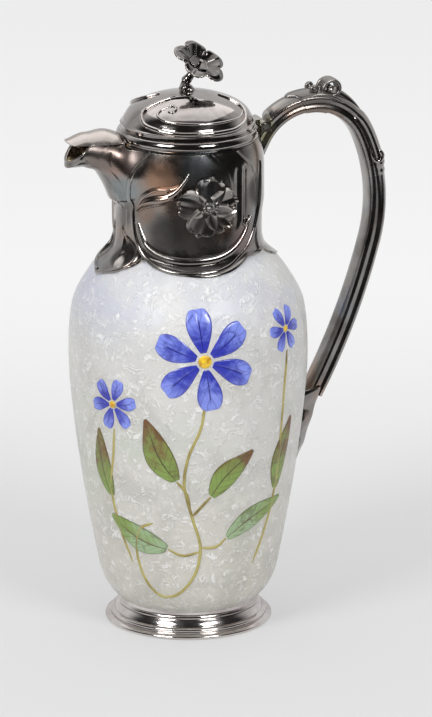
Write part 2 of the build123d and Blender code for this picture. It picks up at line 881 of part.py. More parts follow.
def handle_outline(grow):
    """Half of the handle's section: domed outer face, grooved flank and flat inner face."""
    half_width = handle_width / 2 + grow
    half_depth = handle_depth / 2 + grow
    outer_face = ThreePointArc(
        (0, -half_depth), (0.42 * half_width, -0.93 * half_depth), (0.74 * half_width, -0.73 * half_depth)
    )
    upper_ridge = ThreePointArc(
        outer_face @ 1, (0.94 * half_width, -0.52 * half_depth), (0.98 * half_width, -0.25 * half_depth)
    )
    groove = ThreePointArc(
        upper_ridge @ 1, (half_width - handle_groove, 0), (0.98 * half_width, 0.33 * half_depth)
    )
    lower_ridge = ThreePointArc(
        groove @ 1, (0.95 * half_width, 0.71 * half_depth), (0.79 * half_width, 0.94 * half_depth)
    )
    inner_face = Line(lower_ridge @ 1, (0, half_depth))
    Line(inner_face @ 1, outer_face @ 0)


def handle_side(grow, hollow):
    """One half of the handle, swept along its centre line."""
    with BuildPart() as half:
        with BuildSketch(handle_plane):
            with BuildLine():
                handle_outline(grow)
            make_face()
            if hollow:
                Rectangle(
                    handle_width / 2 - handle_wall - handle_groove,
                    handle_depth - 2.4 * handle_wall,
                    align=(Align.MIN, Align.CENTER),
                    mode=Mode.SUBTRACT,
                )
        sweep(path=handle_path.wire())
    return half.part


with BuildPart() as hinge_pocket:
    with BuildSketch(Plane.XZ):
        with BuildLine():
            Polyline(
                (0, pocket_floor),
                (pocket_back, pocket_floor),
                (pocket_back, hinge_z + pocket_height),
                (0, hinge_z + pocket_height),
                close=True,
            )
        make_face()
    extrude(amount=handle_width, both=True)

# Near half of the hollow handle, cut to the collar and to the hinge's seat
with BuildPart() as handle_left:
    add(handle_side(0.0, True))
    add(collar_solid, mode=Mode.SUBTRACT)
    add(collar_rim.part, mode=Mode.SUBTRACT)
    add(hinge_pocket.part, mode=Mode.SUBTRACT)

with BuildPart() as handle_core:
    add(handle_side(0.0, False))
    mirror(about=Plane.XZ)



def sleeve(run, radius, first, last, wall):
    """Sleeve around the handle between two shares of one of its arcs."""
    centre = (run @ 0) + Vector((run % 0).Z, 0, -(run % 0).X) * radius
    first_side = centre + ((run @ first) - centre) * 1.5
    last_side = centre + ((run @ last) - centre) * 1.5
    with BuildPart() as part:
        add(handle_side(wall, False))
        mirror(about=Plane.XZ)
        with BuildSketch(Plane.XZ):
            with BuildLine():
                Polyline(*[(point.X, point.Z) for point in (centre, first_side, last_side)], close=True)
            make_face()
        extrude(amount=handle_width, both=True, mode=Mode.INTERSECT)
        add(handle_core.part, mode=Mode.SUBTRACT)
    return part.part


# Calyx-like sheath around the handle, just before the arch's top
with BuildPart() as handle_sheath:
    add(sleeve(arch, arch_radius, sheath_start, sheath_end, sheath_wall))

# Curled bud that sits on the arch, with two small scrolls in front of it
bud_seat = arch @ bud_share
bud_along = arch % bud_share
bud_outward = Vector(-bud_along.Z, 0, bud_along.X)
with BuildPart() as handle_bud:
    with Locations(bud_seat + bud_outward * (handle_depth / 2 + bud_knob_seat)):
        Sphere(bud_knob_radius)
    for side in (-1, 1):
        scroll_seat = bud_seat - bud_along * (1.3 * bud_knob_radius)
        scroll_seat += Vector(0, side * bud_knob_radius / 2, 0)
        with Locations(scroll_seat + bud_outward * (handle_depth / 2 + bud_knob_seat / 4)):
            Sphere(bud_knob_radius / 2)
    add(handle_core.part, mode=Mode.SUBTRACT)
    add(handle_sheath.part, mode=Mode.SUBTRACT)

# Knot on the handle's back, above the grip
with BuildPart() as handle_knot:
    add(sleeve(back, back_radius, knot_start, knot_end, knot_wall))

# Lower terminal: a leaf-shaped pad, bedded on the glass, that takes the end of the handle
terminal_end = drop @ 1
with BuildPart() as terminal_outline:
    with BuildSketch(Plane.YZ.offset(belly_radius - terminal_width / 2)):
        with BuildLine():
            widest = (terminal_top + terminal_tip) / 2 + terminal_widest_rise
            right_top = Line(
                (0, terminal_top + terminal_overlap), (handle_width / 2, terminal_top + terminal_overlap)
            )
            right_side = Spline(
                right_top @ 1,
                (terminal_width / 2, widest),
                (0, terminal_tip),
                tangents=[(0, -1), (-1, -1.1)],
            )
            Line(right_side @ 1, right_top @ 0)
        make_face()
        mirror(about=Plane.YZ)
    extrude(amount=1.5 * terminal_width, taper=terminal_draft)

terminal_run = drop % 1
terminal_outward = Vector(-terminal_run.Z, 0, terminal_run.X)
terminal_swells = []
for rise, lift in ((0.54, 1.0), (0.32, 1.02), (0.2, 0.8)):
    swell_height = terminal_tip + rise * terminal_length
    terminal_swells.append((glass_radius(swell_height) + lift * terminal_swell, swell_height))
socket_outer = terminal_end + terminal_outward * handle_depth / 2
socket_inner = terminal_end - terminal_outward * handle_depth / 2
terminal_bed = glass_envelope(terminal_cement, heel_height + heel_rise, shoulder_height)
with BuildPart() as handle_terminal:
    with BuildSketch(Plane.XZ):
        with BuildLine():
            outer = Spline(
                (socket_outer.X, socket_outer.Z),
                *terminal_swells,
                (glass_radius(terminal_tip) + terminal_tip_wall, terminal_tip),
            )
            Polyline(
                outer @ 1,
                (belly_radius / 2, terminal_tip),
                (belly_radius / 2, terminal_top),
                (socket_inner.X + terminal_cement, terminal_top),
                (socket_inner.X, socket_inner.Z),
                outer @ 0,
            )
        make_face()
    extrude(amount=terminal_width, both=True)
    add(terminal_outline.part, mode=Mode.INTERSECT)
    add(terminal_bed, mode=Mode.SUBTRACT)
    add(handle_core.part, mode=Mode.SUBTRACT)

with BuildPart() as terminal_plaster:
    add(terminal_bed)
    with BuildSketch(Plane.YZ.offset(belly_radius / 2)):
        with Locations((0, widest - terminal_bed_edge)):
            Ellipse(terminal_width / 2 - terminal_bed_edge, terminal_length / 2 - 2 * terminal_bed_edge)
    extrude(amount=belly_radius, mode=Mode.INTERSECT)
    add(glass_envelope(0.0, heel_height + heel_rise, shoulder_height), mode=Mode.SUBTRACT)
    add(glass_body.part, mode=Mode.SUBTRACT)

# Finial: leaning stem, calyx and an open five-lobed flower, held by a screw from inside the lid
finial_top = Vector(finial_lean, 0, dome_top + finial_stem_height)
with BuildPart() as finial_stem:
    with BuildLine():
        stem_path = ThreePointArc(
            (0, 0, dome_top - lid_wall / 4),
            (finial_lean * 0.2, 0, dome_top + finial_stem_height * 0.5),
            finial_top,
        )
    with BuildSketch(Plane(origin=stem_path @ 0, z_dir=stem_path % 0)):
        Circle(finial_stem_radius)
    sweep()
    with BuildSketch(Plane.XY.offset(dome_top - lid_wall / 2)):
        Circle(finial_foot_radius)
    extrude(amount=1.5 * lid_wall, taper=30)
    add(lid_dome.part, mode=Mode.SUBTRACT)
    with BuildSketch(Plane.XY.offset(dome_top - lid_wall)):
        Circle(screw_radius)
    extrude(amount=screw_grip + lid_wall, mode=Mode.SUBTRACT)

flower_facing = Vector(
    sin(radians(finial_tilt)) * cos(radians(finial_turn)),
    sin(radians(finial_tilt)) * sin(radians(finial_turn)),
    cos(radians(finial_tilt)),
)
flower_across = Plane(origin=finial_top, z_dir=flower_facing)
flower_profile = Plane(origin=finial_top, x_dir=flower_across.x_dir, z_dir=-flower_across.y_dir)
flower_axis = Axis(finial_top, flower_facing)
with BuildPart() as finial_flower:
    with BuildSketch(flower_profile):
        with BuildLine():
            base = Line((0, calyx_floor), (flower_seat_radius, calyx_floor))
            underside = Spline(
                base @ 1,
                (finial_petal_length * 0.36, flower_rise * 0.72),
                (finial_petal_length, flower_rise),
                tangents=[(0.4, 1), (1, -0.05)],
            )
            edge = Line(underside @ 1, (finial_petal_length, flower_rise + finial_petal_wall * 0.7))
            face = Spline(
                edge @ 1,
                (finial_petal_length * 0.34, flower_rise * 0.72 + finial_petal_wall),
                (0, 2 * calyx_floor + finial_petal_wall),
                tangents=[(-1, 0.05), (-1, -0.6)],
            )
            Line(face @ 1, base @ 0)
        make_face()
    revolve(axis=flower_axis)
    with BuildSketch(flower_across):
        Circle(finial_petal_width * 0.4)
        with PolarLocations(0.53 * finial_petal_length, petal_count, start_angle=18):
            Ellipse(0.47 * finial_petal_length, finial_petal_width / 2)
    extrude(amount=2 * flower_rise, mode=Mode.INTERSECT)
    add(finial_stem.part, mode=Mode.SUBTRACT)

with BuildPart() as finial_calyx:
    with BuildSketch(flower_profile):
        with BuildLine():
            neck = Line((0, -calyx_drop), (0.88 * finial_stem_radius, -calyx_drop))
            cup = Spline(
                neck @ 1, (calyx_radius, calyx_height - calyx_drop), tangents=[(0.3, 1), (0.7, 0.5)]
            )
            Polyline(
                cup @ 1,
                (calyx_radius - finial_petal_wall, calyx_height - calyx_drop),
                (flower_seat_radius, calyx_floor),
                (0, calyx_floor),
                neck @ 0,
            )
        make_face()
    revolve(axis=flower_axis)
    add(finial_flower.part, mode=Mode.SUBTRACT)
    add(finial_stem.part, mode=Mode.SUBTRACT)

nut_top = dome_top - lid_wall - washer_height
screw_bottom = nut_top - nut_height - screw_end
with BuildPart() as finial_screw:
    with BuildSketch(Plane.XY.offset(screw_bottom)):
        Circle(screw_radius)
    extrude(amount=dome_top + screw_grip - screw_bottom)

with BuildPart() as finial_nut:
    with BuildSketch(Plane.XY.offset(nut_top - nut_height)):
        RegularPolygon(nut_flats / 2, 6, major_radius=False)
        Circle(screw_radius, mode=Mode.SUBTRACT)
    extrude(amount=nut_height)

with BuildPart() as finial_washer:
    with BuildSketch(Plane.XY.offset(nut_top)):
        Circle(washer_radius)
        Circle(screw_radius, mode=Mode.SUBTRACT)
    extrude(amount=washer_height + lid_wall / 3)
    add(lid_dome.part, mode=Mode.SUBTRACT)

# The far side's stem, flower, bud and handle half mirror the near side's
with BuildPart() as stem_right:
    mirror(stem_left.part, about=Plane.XZ)
with BuildPart() as flower_right:
    mirror(flower_left.part, about=Plane.XZ)
with BuildPart() as bud_right:
    mirror(bud_left.part, about=Plane.XZ)
with BuildPart() as handle_right:
    mirror(handle_left.part, about=Plane.XZ)

pieces = {
    "glass_body": glass_body,
    "foot_shell": foot_shell,
    "foot_wire": foot_wire,
    "foot_plaster": foot_plaster,
    "neck_collar": neck_collar,
    "collar_rim": collar_rim,
    "collar_plaster": collar_plaster,
    "spout_trough": spout_trough,
    "spout_hood": spout_hood,
    "stem_left": stem_left,
    "stem_right": stem_right,
    "flower_left": flower_left,
    "flower_right": flower_right,
    "bud_left": bud_left,
    "bud_right": bud_right,
    "handle_left": handle_left,
    "handle_right": handle_right,
    "handle_sheath": handle_sheath,
    "handle_bud": handle_bud,
    "handle_knot": handle_knot,
    "handle_terminal": handle_terminal,
    "terminal_plaster": terminal_plaster,
    "hinge_knuckles": hinge_knuckles,
    "hinge_pin": hinge_pin,
    "lid_dome": lid_dome,
    "lid_rim": lid_rim,
    "lid_bezel": lid_bezel,
    "lid_stem": lid_stem,
    "lid_knuckle": lid_knuckle,
    "finial_stem": finial_stem,
    "finial_calyx": finial_calyx,
    "finial_flower": finial_flower,
    "finial_screw": finial_screw,
    "finial_nut": finial_nut,
    "finial_washer": finial_washer,
}
for name, piece in pieces.items():
    piece.part.label = name
    export_step(piece.part, f"parts/{name}.step")
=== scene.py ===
from math import cos, pi, radians, sin

import bpy
import numpy as np
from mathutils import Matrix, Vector


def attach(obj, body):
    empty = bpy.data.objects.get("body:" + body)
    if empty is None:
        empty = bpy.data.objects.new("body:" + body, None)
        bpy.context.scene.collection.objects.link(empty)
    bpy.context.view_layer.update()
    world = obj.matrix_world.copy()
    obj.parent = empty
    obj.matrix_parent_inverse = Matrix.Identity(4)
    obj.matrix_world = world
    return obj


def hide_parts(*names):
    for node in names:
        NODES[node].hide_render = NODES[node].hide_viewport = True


bl_info = {
    "name": "Mounted Glass Carafe",
    "version": (1, 0, 0),
    "blender": (4, 5, 0),
    "location": "View3D > Sidebar > Carafe",
    "description": "Builds the glass, mount, lid and studio of a mounted glass carafe",
    "category": "Object",
}

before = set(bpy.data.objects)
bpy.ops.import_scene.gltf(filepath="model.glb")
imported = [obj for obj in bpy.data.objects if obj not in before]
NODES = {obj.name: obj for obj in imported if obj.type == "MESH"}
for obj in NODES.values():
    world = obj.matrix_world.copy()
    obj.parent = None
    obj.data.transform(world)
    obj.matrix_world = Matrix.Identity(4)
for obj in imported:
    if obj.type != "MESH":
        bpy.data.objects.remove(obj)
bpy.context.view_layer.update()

MM = 0.001


# Sizes and colours ------------------------------------------------------

def length(name, description, default, low, high):
    """A length property, given in millimetres."""
    return bpy.props.FloatProperty(
        name=name, description=description, default=default * MM, min=low * MM, max=high * MM, unit="LENGTH")


def colour(name, description, default):
    """A colour property."""
    return bpy.props.FloatVectorProperty(
        name=name, description=description, default=default, size=3, min=0.0, max=1.0, subtype="COLOR")


class CarafeSizes(bpy.types.PropertyGroup):
    """Sizes of the parts that are modelled here, and how strongly they are worked."""

    glass_wall: length("Glass wall", "Thickness of the blown glass", 3.0, 1.0, 6.0)
    ripple_depth: length("Ripple depth", "Depth of the etched ripple on the glass", 0.30, 0.0, 1.0)
    collar_wall: length("Collar wall", "Thickness of the collar and spout", 1.1, 0.5, 3.0)
    enamel_relief: length("Enamel relief", "Height of the enamel above the glass", 0.45, 0.1, 1.5)
    petal_wall: length("Petal wall", "Thickness of the finial's petals", 0.9, 0.3, 2.0)


class CarafeColours(bpy.types.PropertyGroup):
    """Colours of the glass, metals, enamels and studio."""

    glass: colour("Frosted glass", "Body colour of the etched glass", (0.76, 0.75, 0.725))
    glass_blue: colour("Shoulder tint", "Blue tint sprayed on the shoulder", (0.52, 0.56, 0.74))
    glass_green: colour("Green tint", "Green tint in the lower glass", (0.55, 0.64, 0.52))
    mount: colour("Mount metal", "Toned silver plate of the mount", (0.33, 0.315, 0.30))
    foot: colour("Foot metal", "Brighter silver plate of the foot", (0.72, 0.68, 0.66))
    gilt: colour("Gilding", "Worn gilding inside the spout", (0.72, 0.56, 0.34))
    blue: colour("Blue enamel", "Deep blue of the blossoms", (0.035, 0.045, 0.42))
    leaf: colour("Leaf green", "Green of the enamelled leaves", (0.20, 0.30, 0.06))
    leaf_brown: colour("Leaf brown", "Brown of the enamelled leaves", (0.16, 0.06, 0.02))
    floor: colour("Floor", "Pale studio floor", (0.86, 0.86, 0.86))


# Form of the carafe, in millimetres and degrees -------------------------
# Angles run round the upright axis: the handle is at 0, the spout at 180 and the near side at 270.

NECK_R = 31.8

# Height, radius and growth of the radius a millimetre
GLASS_STATIONS = [
    (12.8, 34.4, 0.95), (35.8, 43.7, 0.20), (106.0, 54.4, 0.10), (130.0, 56.0, 0.0),
    (153.5, 54.4, -0.18), (165.0, 49.4, -0.62), (178.0, 39.3, -1.10), (190.0, NECK_R, 0.0),
]

# Reach, height, slope, half width and half height
SPOUT_STATIONS = [
    (28.0, 216.0, 50.0, 17.0, 13.0), (40.0, 229.0, 35.0, 13.0, 9.5),
    (49.5, 231.6, 15.0, 10.2, 8.0), (60.0, 230.6, 0.0, 8.5, 6.4),
]
SPOUT_END = (64.0, 230.6, 0.0, 8.2, 6.2)
SPOUT_BLEND = 7.0
SPOUT_REACH = (20.0, 72.0)
NOSE_START = 45.0
NOSE_LENGTH = 15.0
NOSE_HALF = 12.0

COLLAR_R = 35.4
COLLAR_TOP = 233.0
COLLAR_EDGE = 182.0
COLLAR_GAP = 0.75
GLASS_CLEARANCE = 0.12
PINCH_LIMIT = 1.05
PINCH_SPREAD = 34.0
LEAF_WIDTH = 42.0
LEAF_TIPS = ((-1, 172.0), (1, 174.0))
PANEL_MIDDLE = 261.5
PANEL_HALF = 24.0
PANEL_DROP = 5.0
HOOD_Z = 235.6


def smooth_step(low, high, value):
    """Rises softly from 0 at low to 1 at high."""
    t = np.clip((value - low) / (high - low), 0, 1)
    return t * t * (3 - 2 * t)


def bell(value, half, power=2):
    """A soft hump: 1 where value is 0, almost nothing past twice the half width."""
    return np.exp(-(value / half) ** power)


def arch(share, start, run, power=1.0):
    """The part of half a sine wave that begins at start and runs on, to a power."""
    return np.sin(np.clip(share * run + start, 0, 1) * pi) ** power


def cubic(t, start, end, start_slope, end_slope):
    """A cubic from start to end while t runs from 0 to 1, with a slope at each end."""
    return (start * (1 + 2 * t) * (1 - t) ** 2 + start_slope * t * (1 - t) ** 2
            + end * t * t * (3 - 2 * t) + end_slope * t * t * (t - 1))


def glass_radius(height):
    """Outer radius of the glass at heights from its heel to its neck."""
    height = np.asarray(height, float)
    radius = np.full(height.shape, NECK_R)
    for (z0, r0, s0), (z1, r1, s1) in zip(GLASS_STATIONS, GLASS_STATIONS[1:]):
        span = z1 - z0
        t = (height - z0) / span
        radius = np.where((t >= 0) & (t <= 1), cubic(t, r0, r1, s0 * span, s1 * span), radius)
    return radius


def collar_outer(height):
    """Outer radius of the collar: flared skirt, straight tube and drawn-in shoulder."""
    height = np.asarray(height, float)
    swell = glass_radius(height) + COLLAR_GAP - COLLAR_R
    flare = (swell + np.hypot(swell, 0.8)) / 2
    bend = 2.0 * np.clip((height - 222.0) / (COLLAR_TOP - 222.0), 0, 1) ** 2
    return COLLAR_R + flare - bend


def front_pinch(angle, height):
    """How far the collar is drawn in between its two round panels, before and behind."""
    away = np.abs(np.mod(angle, 360.0) - 180.0)
    front = np.minimum(2.3 * bell(away, PINCH_SPREAD), PINCH_LIMIT) * smooth_step(222, 212, height)
    back = np.minimum(1.6 * bell(180.0 - away, PINCH_SPREAD), PINCH_LIMIT) * smooth_step(206, 197, height)
    return (front + back) * smooth_step(COLLAR_EDGE, 189, height)


def smooth_line(points, per=8):
    """Points on a smooth line through the given ones."""
    p = np.asarray(points, float)
    ends = np.vstack([2 * p[0] - p[1], p, 2 * p[-1] - p[-2]])
    out = []
    for i in range(len(p) - 1):
        a, b, c, d = ends[i:i + 4]
        for t in np.arange(per) / per:
            out.append(0.5 * (2 * b + (c - a) * t + (2 * a - 5 * b + 4 * c - d) * t ** 2
                              + (3 * b - a - 3 * c + d) * t ** 3))
    out.append(p[-1])
    return np.array(out)


def nearest_on(route, a, b):
    """Distance from each point (a, b) to a route, and the route's share where it is nearest."""
    best = np.full(np.shape(a), np.inf)
    share = np.zeros(np.shape(a))
    steps = np.diff(route, axis=0)
    lengths = np.hypot(steps[:, 0], steps[:, 1])
    run = np.concatenate([[0], np.cumsum(lengths)])
    for k in range(len(steps)):
        t = ((a - route[k, 0]) * steps[k, 0] + (b - route[k, 1]) * steps[k, 1]) / max(lengths[k] ** 2, 1e-9)
        t = np.clip(t, 0, 1)
        gap = np.hypot(a - route[k, 0] - t * steps[k, 0], b - route[k, 1] - t * steps[k, 1])
        closer = gap < best
        best = np.where(closer, gap, best)
        share = np.where(closer, (run[k] + t * lengths[k]) / run[-1], share)
    return best, share


def spout_line():
    """Centre line of the spout with its slope and half sizes, closely spaced."""
    rows = []
    for (x0, z0, s0, a0, b0), (x1, z1, s1, a1, b1) in zip(SPOUT_STATIONS, SPOUT_STATIONS[1:]):
        span = x1 - x0
        rise, end_rise = np.tan(radians(s0)) * span, np.tan(radians(s1)) * span
        for t in np.arange(12) / 12:
            rows.append((x0 + span * t, cubic(t, z0, z1, rise, end_rise),
                         s0 + (s1 - s0) * t, a0 + (a1 - a0) * t, b0 + (b1 - b0) * t))
    rows.append(SPOUT_STATIONS[-1])
    rows.append(SPOUT_END)
    return np.array(rows)


SPOUT_LINE = spout_line()


def spout_gap(reach, side, height):
    """Distance outside (+) or inside (-) the spout's oval form, measured square to its centre line."""
    line = SPOUT_LINE[:, 0]
    at = np.clip(reach, line[0], line[-1])
    for step in range(8):
        z, slope, a, b = (np.interp(at, line, SPOUT_LINE[:, k]) for k in (1, 2, 3, 4))
        c, s = np.cos(np.radians(slope)), np.sin(np.radians(slope))
        ahead = (reach - at) * c + (height - z) * s
        if step < 7:
            at = np.clip(at + 0.7 * ahead * c, line[0], line[-1])
    lift = (height - z) * c - (reach - at) * s
    gap = (np.sqrt((side / a) ** 2 + (lift / b) ** 2) - 1) * b
    return np.where(gap > 0, np.hypot(gap, ahead), gap)


def mount_radius(angle, height):
    """Outer radius of collar and spout together, with a soft fillet between them."""
    base = collar_outer(height) - front_pinch(angle, height)
    turn = np.radians(angle)
    radius = base.copy()
    near = np.cos(turn) < -0.55
    if not near.any():
        return radius
    c, s, h, r0 = np.cos(turn[near]), np.sin(turn[near]), height[near], base[near]

    def gap(r):
        tube = r - r0
        spout = spout_gap(-r * c, r * s, h)
        mix = np.clip(0.5 + 0.5 * (spout - tube) / SPOUT_BLEND, 0, 1)
        return spout * (1 - mix) + tube * mix - SPOUT_BLEND * mix * (1 - mix)

    # Each ray is walked inwards to the first step that is inside, which is then halved down
    inside = np.full(h.shape, SPOUT_REACH[0])
    outside = np.full(h.shape, SPOUT_REACH[1])
    found = np.zeros(h.shape, bool)
    stride = 1.5
    for r in np.arange(70.0, 30.0, -stride):
        hit = (gap(np.full(h.shape, r)) <= 0) & ~found
        inside = np.where(hit, r, inside)
        outside = np.where(hit, r + stride, outside)
        found |= hit
    for _ in range(9):
        middle = (inside + outside) / 2
        under = gap(middle) <= 0
        inside = np.where(under, middle, inside)
        outside = np.where(under, outside, middle)
    # The rounded nose ends the spout: the ray's root with an ellipse seen from above
    a = c * c / NOSE_LENGTH ** 2 + s * s / NOSE_HALF ** 2
    b = -NOSE_START * c / NOSE_LENGTH ** 2
    under = b * b - a * ((NOSE_START / NOSE_LENGTH) ** 2 - 1)
    nose = np.where(under > 0, (b + np.sqrt(np.maximum(under, 0))) / a, 99.0)
    radius[near] = np.where(found, np.minimum((inside + outside) / 2, nose), r0)
    return radius


def border_height(angle):
    """Height of the collar's lower edge: a leaf in front, one behind and two round panels."""
    turn = np.radians(angle)
    radius = collar_outer(np.full(np.shape(angle), 180.0))
    y = radius * np.sin(turn)
    x = radius * np.cos(turn)
    edge = np.full(np.shape(angle), COLLAR_EDGE)
    for side, tip in LEAF_TIPS:
        share = np.clip(1 - np.abs(y) / (LEAF_WIDTH / 2), 0, 1)
        leaf = COLLAR_EDGE - (COLLAR_EDGE - tip) * share ** 0.62
        edge = np.where(x * side > 0, np.minimum(edge, leaf), edge)
    middle = COLLAR_R * cos(radians(PANEL_MIDDLE))
    share = np.clip(1 - ((x - middle) / PANEL_HALF) ** 2, 0, 1)
    return np.minimum(edge, COLLAR_EDGE - PANEL_DROP * share)


def round_axis(angle, radius, height):
    """Points at angles, radii and heights about the upright axis."""
    turn = np.radians(angle)
    return np.stack([radius * np.cos(turn), radius * np.sin(turn), height], -1)


def on_mount(angle, height, lift):
    """Points on the collar and spout at angles and heights, lifted outwards, in millimetres."""
    angle, height = np.broadcast_arrays(np.asarray(angle, float), np.asarray(height, float))
    return round_axis(angle, mount_radius(angle, height) + lift, height)


def on_glass(angle, height, lift):
    """Points on the glass at angles and heights, lifted outwards, in millimetres."""
    angle, height = np.broadcast_arrays(np.asarray(angle, float), np.asarray(height, float))
    return round_axis(angle, glass_radius(height) + lift, height)


# Working tools ----------------------------------------------------------

def clear_selection():
    """Leaves edit mode and selects nothing."""
    if bpy.context.object and bpy.context.object.mode != "OBJECT":
        bpy.ops.object.mode_set(mode="OBJECT")
    bpy.ops.object.select_all(action="DESELECT")


def pick(piece):
    """Makes a piece the only selected and the active one."""
    clear_selection()
    piece.select_set(True)
    bpy.context.view_layer.objects.active = piece


def name_piece(piece, name):
    """Names a piece and its mesh alike."""
    piece.name = name
    piece.data.name = name
    return piece


def edit_whole(piece):
    """Opens a piece in edit mode with all of it selected."""
    pick(piece)
    bpy.ops.object.mode_set(mode="EDIT")
    bpy.ops.mesh.select_all(action="SELECT")


def apply_place(piece):
    """Puts a piece's place, turn and scale into its mesh."""
    pick(piece)
    bpy.ops.object.transform_apply(location=True, rotation=True, scale=True)


def settle(piece, angle, threshold=0.004):
    """Merges doubles, turns the faces outwards and shades them softly up to an angle."""
    edit_whole(piece)
    bpy.ops.mesh.remove_doubles(threshold=threshold * MM)
    bpy.ops.mesh.select_all(action="SELECT")
    bpy.ops.mesh.normals_make_consistent(inside=False)
    bpy.ops.object.mode_set(mode="OBJECT")
    bpy.ops.object.shade_smooth_by_angle(angle=radians(angle))
    return piece


def apply_modifier(piece, kind, **settings):
    """Adds a modifier, sets it and applies it."""
    pick(piece)
    modifier = piece.modifiers.new(kind.title(), kind)
    for key, value in settings.items():
        setattr(modifier, key, value)
    bpy.ops.object.modifier_apply(modifier=modifier.name)


def turned_piece(name, outline, steps, angle):
    """Turns an outline of (radius, height) points about the upright axis."""
    clear_selection()
    first = outline[0]
    bpy.ops.mesh.primitive_plane_add(size=MM, location=(first[0] * MM, 0, first[1] * MM))
    piece = name_piece(bpy.context.object, name)
    apply_place(piece)
    edit_whole(piece)
    bpy.ops.mesh.merge(type="CENTER")
    for (r0, z0), (r1, z1) in zip(outline, outline[1:]):
        bpy.ops.mesh.extrude_region_move(
            TRANSFORM_OT_translate={"value": ((r1 - r0) * MM, 0, (z1 - z0) * MM)})
    bpy.ops.mesh.select_all(action="SELECT")
    bpy.ops.mesh.spin(steps=steps, angle=2 * pi, center=(0, 0, 0), axis=(0, 0, 1))
    bpy.ops.object.mode_set(mode="OBJECT")
    return settle(piece, angle)


def grid_piece(name, columns, rows, place):
    """A grid whose shares across and along are sent to points in millimetres by place."""
    clear_selection()
    bpy.ops.mesh.primitive_grid_add(
        x_subdivisions=columns, y_subdivisions=rows, size=1.0, location=(0.5, 0.5, 0))
    piece = name_piece(bpy.context.object, name)
    apply_place(piece)
    flat = np.empty(len(piece.data.vertices) * 3)
    piece.data.vertices.foreach_get("co", flat)
    flat = flat.reshape(-1, 3)
    points = place(np.clip(flat[:, 0], 0, 1), np.clip(flat[:, 1], 0, 1))
    piece.data.vertices.foreach_set("co", (points * MM).ravel())
    piece.data.update()
    return piece


def close_holes(piece):
    """Merges a piece's doubles and closes every open edge loop."""
    edit_whole(piece)
    bpy.ops.mesh.remove_doubles(threshold=0.004 * MM)
    bpy.ops.mesh.select_all(action="SELECT")
    bpy.ops.mesh.fill_holes(sides=0)
    bpy.ops.object.mode_set(mode="OBJECT")


def tube_piece(name, points, radii, around):
    """A round stem along points in millimetres, as thick as the radii say."""
    line = bpy.data.curves.new(name, "CURVE")
    line.dimensions = "3D"
    line.bevel_depth = 1.0
    line.bevel_resolution = max(1, around // 4)
    line.use_fill_caps = True
    spline = line.splines.new("POLY")
    spline.points.add(len(points) - 1)
    for point, place, radius in zip(spline.points, points, radii):
        point.co = (*(np.asarray(place) * MM), 1.0)
        point.radius = float(radius) * MM
    piece = bpy.data.objects.new(name, line)
    bpy.context.scene.collection.objects.link(piece)
    pick(piece)
    bpy.ops.object.convert(target="MESH")
    name_piece(piece, name)
    return settle(piece, 50.0, 0.001)


def join_pieces(pieces, name):
    """Joins pieces into the first one."""
    clear_selection()
    for piece in pieces:
        piece.select_set(True)
    bpy.context.view_layer.objects.active = pieces[0]
    bpy.ops.object.join()
    return name_piece(pieces[0], name)


def mirrored_copy(piece, name):
    """A copy of a piece with its own mesh, mirrored to the far side."""
    copy = piece.copy()
    copy.data = piece.data.copy()
    bpy.context.scene.collection.objects.link(copy)
    name_piece(copy, name)
    edit_whole(copy)
    bpy.ops.transform.mirror(constraint_axis=(False, True, False), orient_type="GLOBAL",
                             center_override=(0, 0, 0))
    bpy.ops.mesh.normals_make_consistent(inside=False)
    bpy.ops.object.mode_set(mode="OBJECT")
    return copy


def give_finish(piece, finish):
    """Gives a piece one finish all over."""
    piece.data.materials.clear()
    piece.data.materials.append(finishes()[finish])


def finish_nodes(finish, *names):
    """Gives solids that keep their own form a finish."""
    for name in names:
        give_finish(NODES[name], finish)


def place_piece(piece, body, slot, *nodes):
    """Gives a piece its body and hides the nodes that it stands for. The slot is not used."""
    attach(piece, body)
    if nodes:
        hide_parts(*nodes)


def finish_piece(piece, body, slot, finish, *nodes):
    """Gives a piece one finish and then its body, and hides its nodes. The slot is passed on but not used."""
    give_finish(piece, finish)
    place_piece(piece, body, slot, *nodes)


def finish_both_sides(parts, name, node):
    """Joins parts into the near piece, mirrors it to the far side and finishes both."""
    near = join_pieces(parts, f"{name}_near")
    far = mirrored_copy(near, f"{name}_far")
    finish_piece(near, "jug", "mount_metal", "mount_metal", f"{node}_left")
    finish_piece(far, "jug", "mount_metal", "mount_metal", f"{node}_right")


# Finishes ---------------------------------------------------------------

class NodeTree:
    """A node tree, with short calls for the nodes it is made of."""

    def __init__(self, tree):
        self.tree = tree
        self.tree.nodes.clear()

    def feed(self, socket, value):
        """Links another socket to this one, or sets its value."""
        if isinstance(value, bpy.types.NodeSocket):
            self.tree.links.new(value, socket)
        else:
            socket.default_value = value

    def node(self, kind, inputs=None, **settings):
        made = self.tree.nodes.new(kind)
        for key, value in settings.items():
            setattr(made, key, value)
        for key, value in (inputs or {}).items():
            self.feed(made.inputs[key], value)
        return made

    def math(self, operation, a, b=0.0, clamp=False):
        return self.node("ShaderNodeMath", {0: a, 1: b}, operation=operation, use_clamp=clamp).outputs[0]

    def times(self, a, b):
        return self.math("MULTIPLY", a, b)

    def span(self, value, low, high, start=0.0, end=1.0):
        """Goes softly from start to end while value goes from low to high."""
        return self.node("ShaderNodeMapRange", {
            "Value": value, "From Min": low, "From Max": high, "To Min": start, "To Max": end},
            interpolation_type="SMOOTHSTEP").outputs[0]

    def split(self, vector):
        return self.node("ShaderNodeSeparateXYZ", {0: vector}).outputs


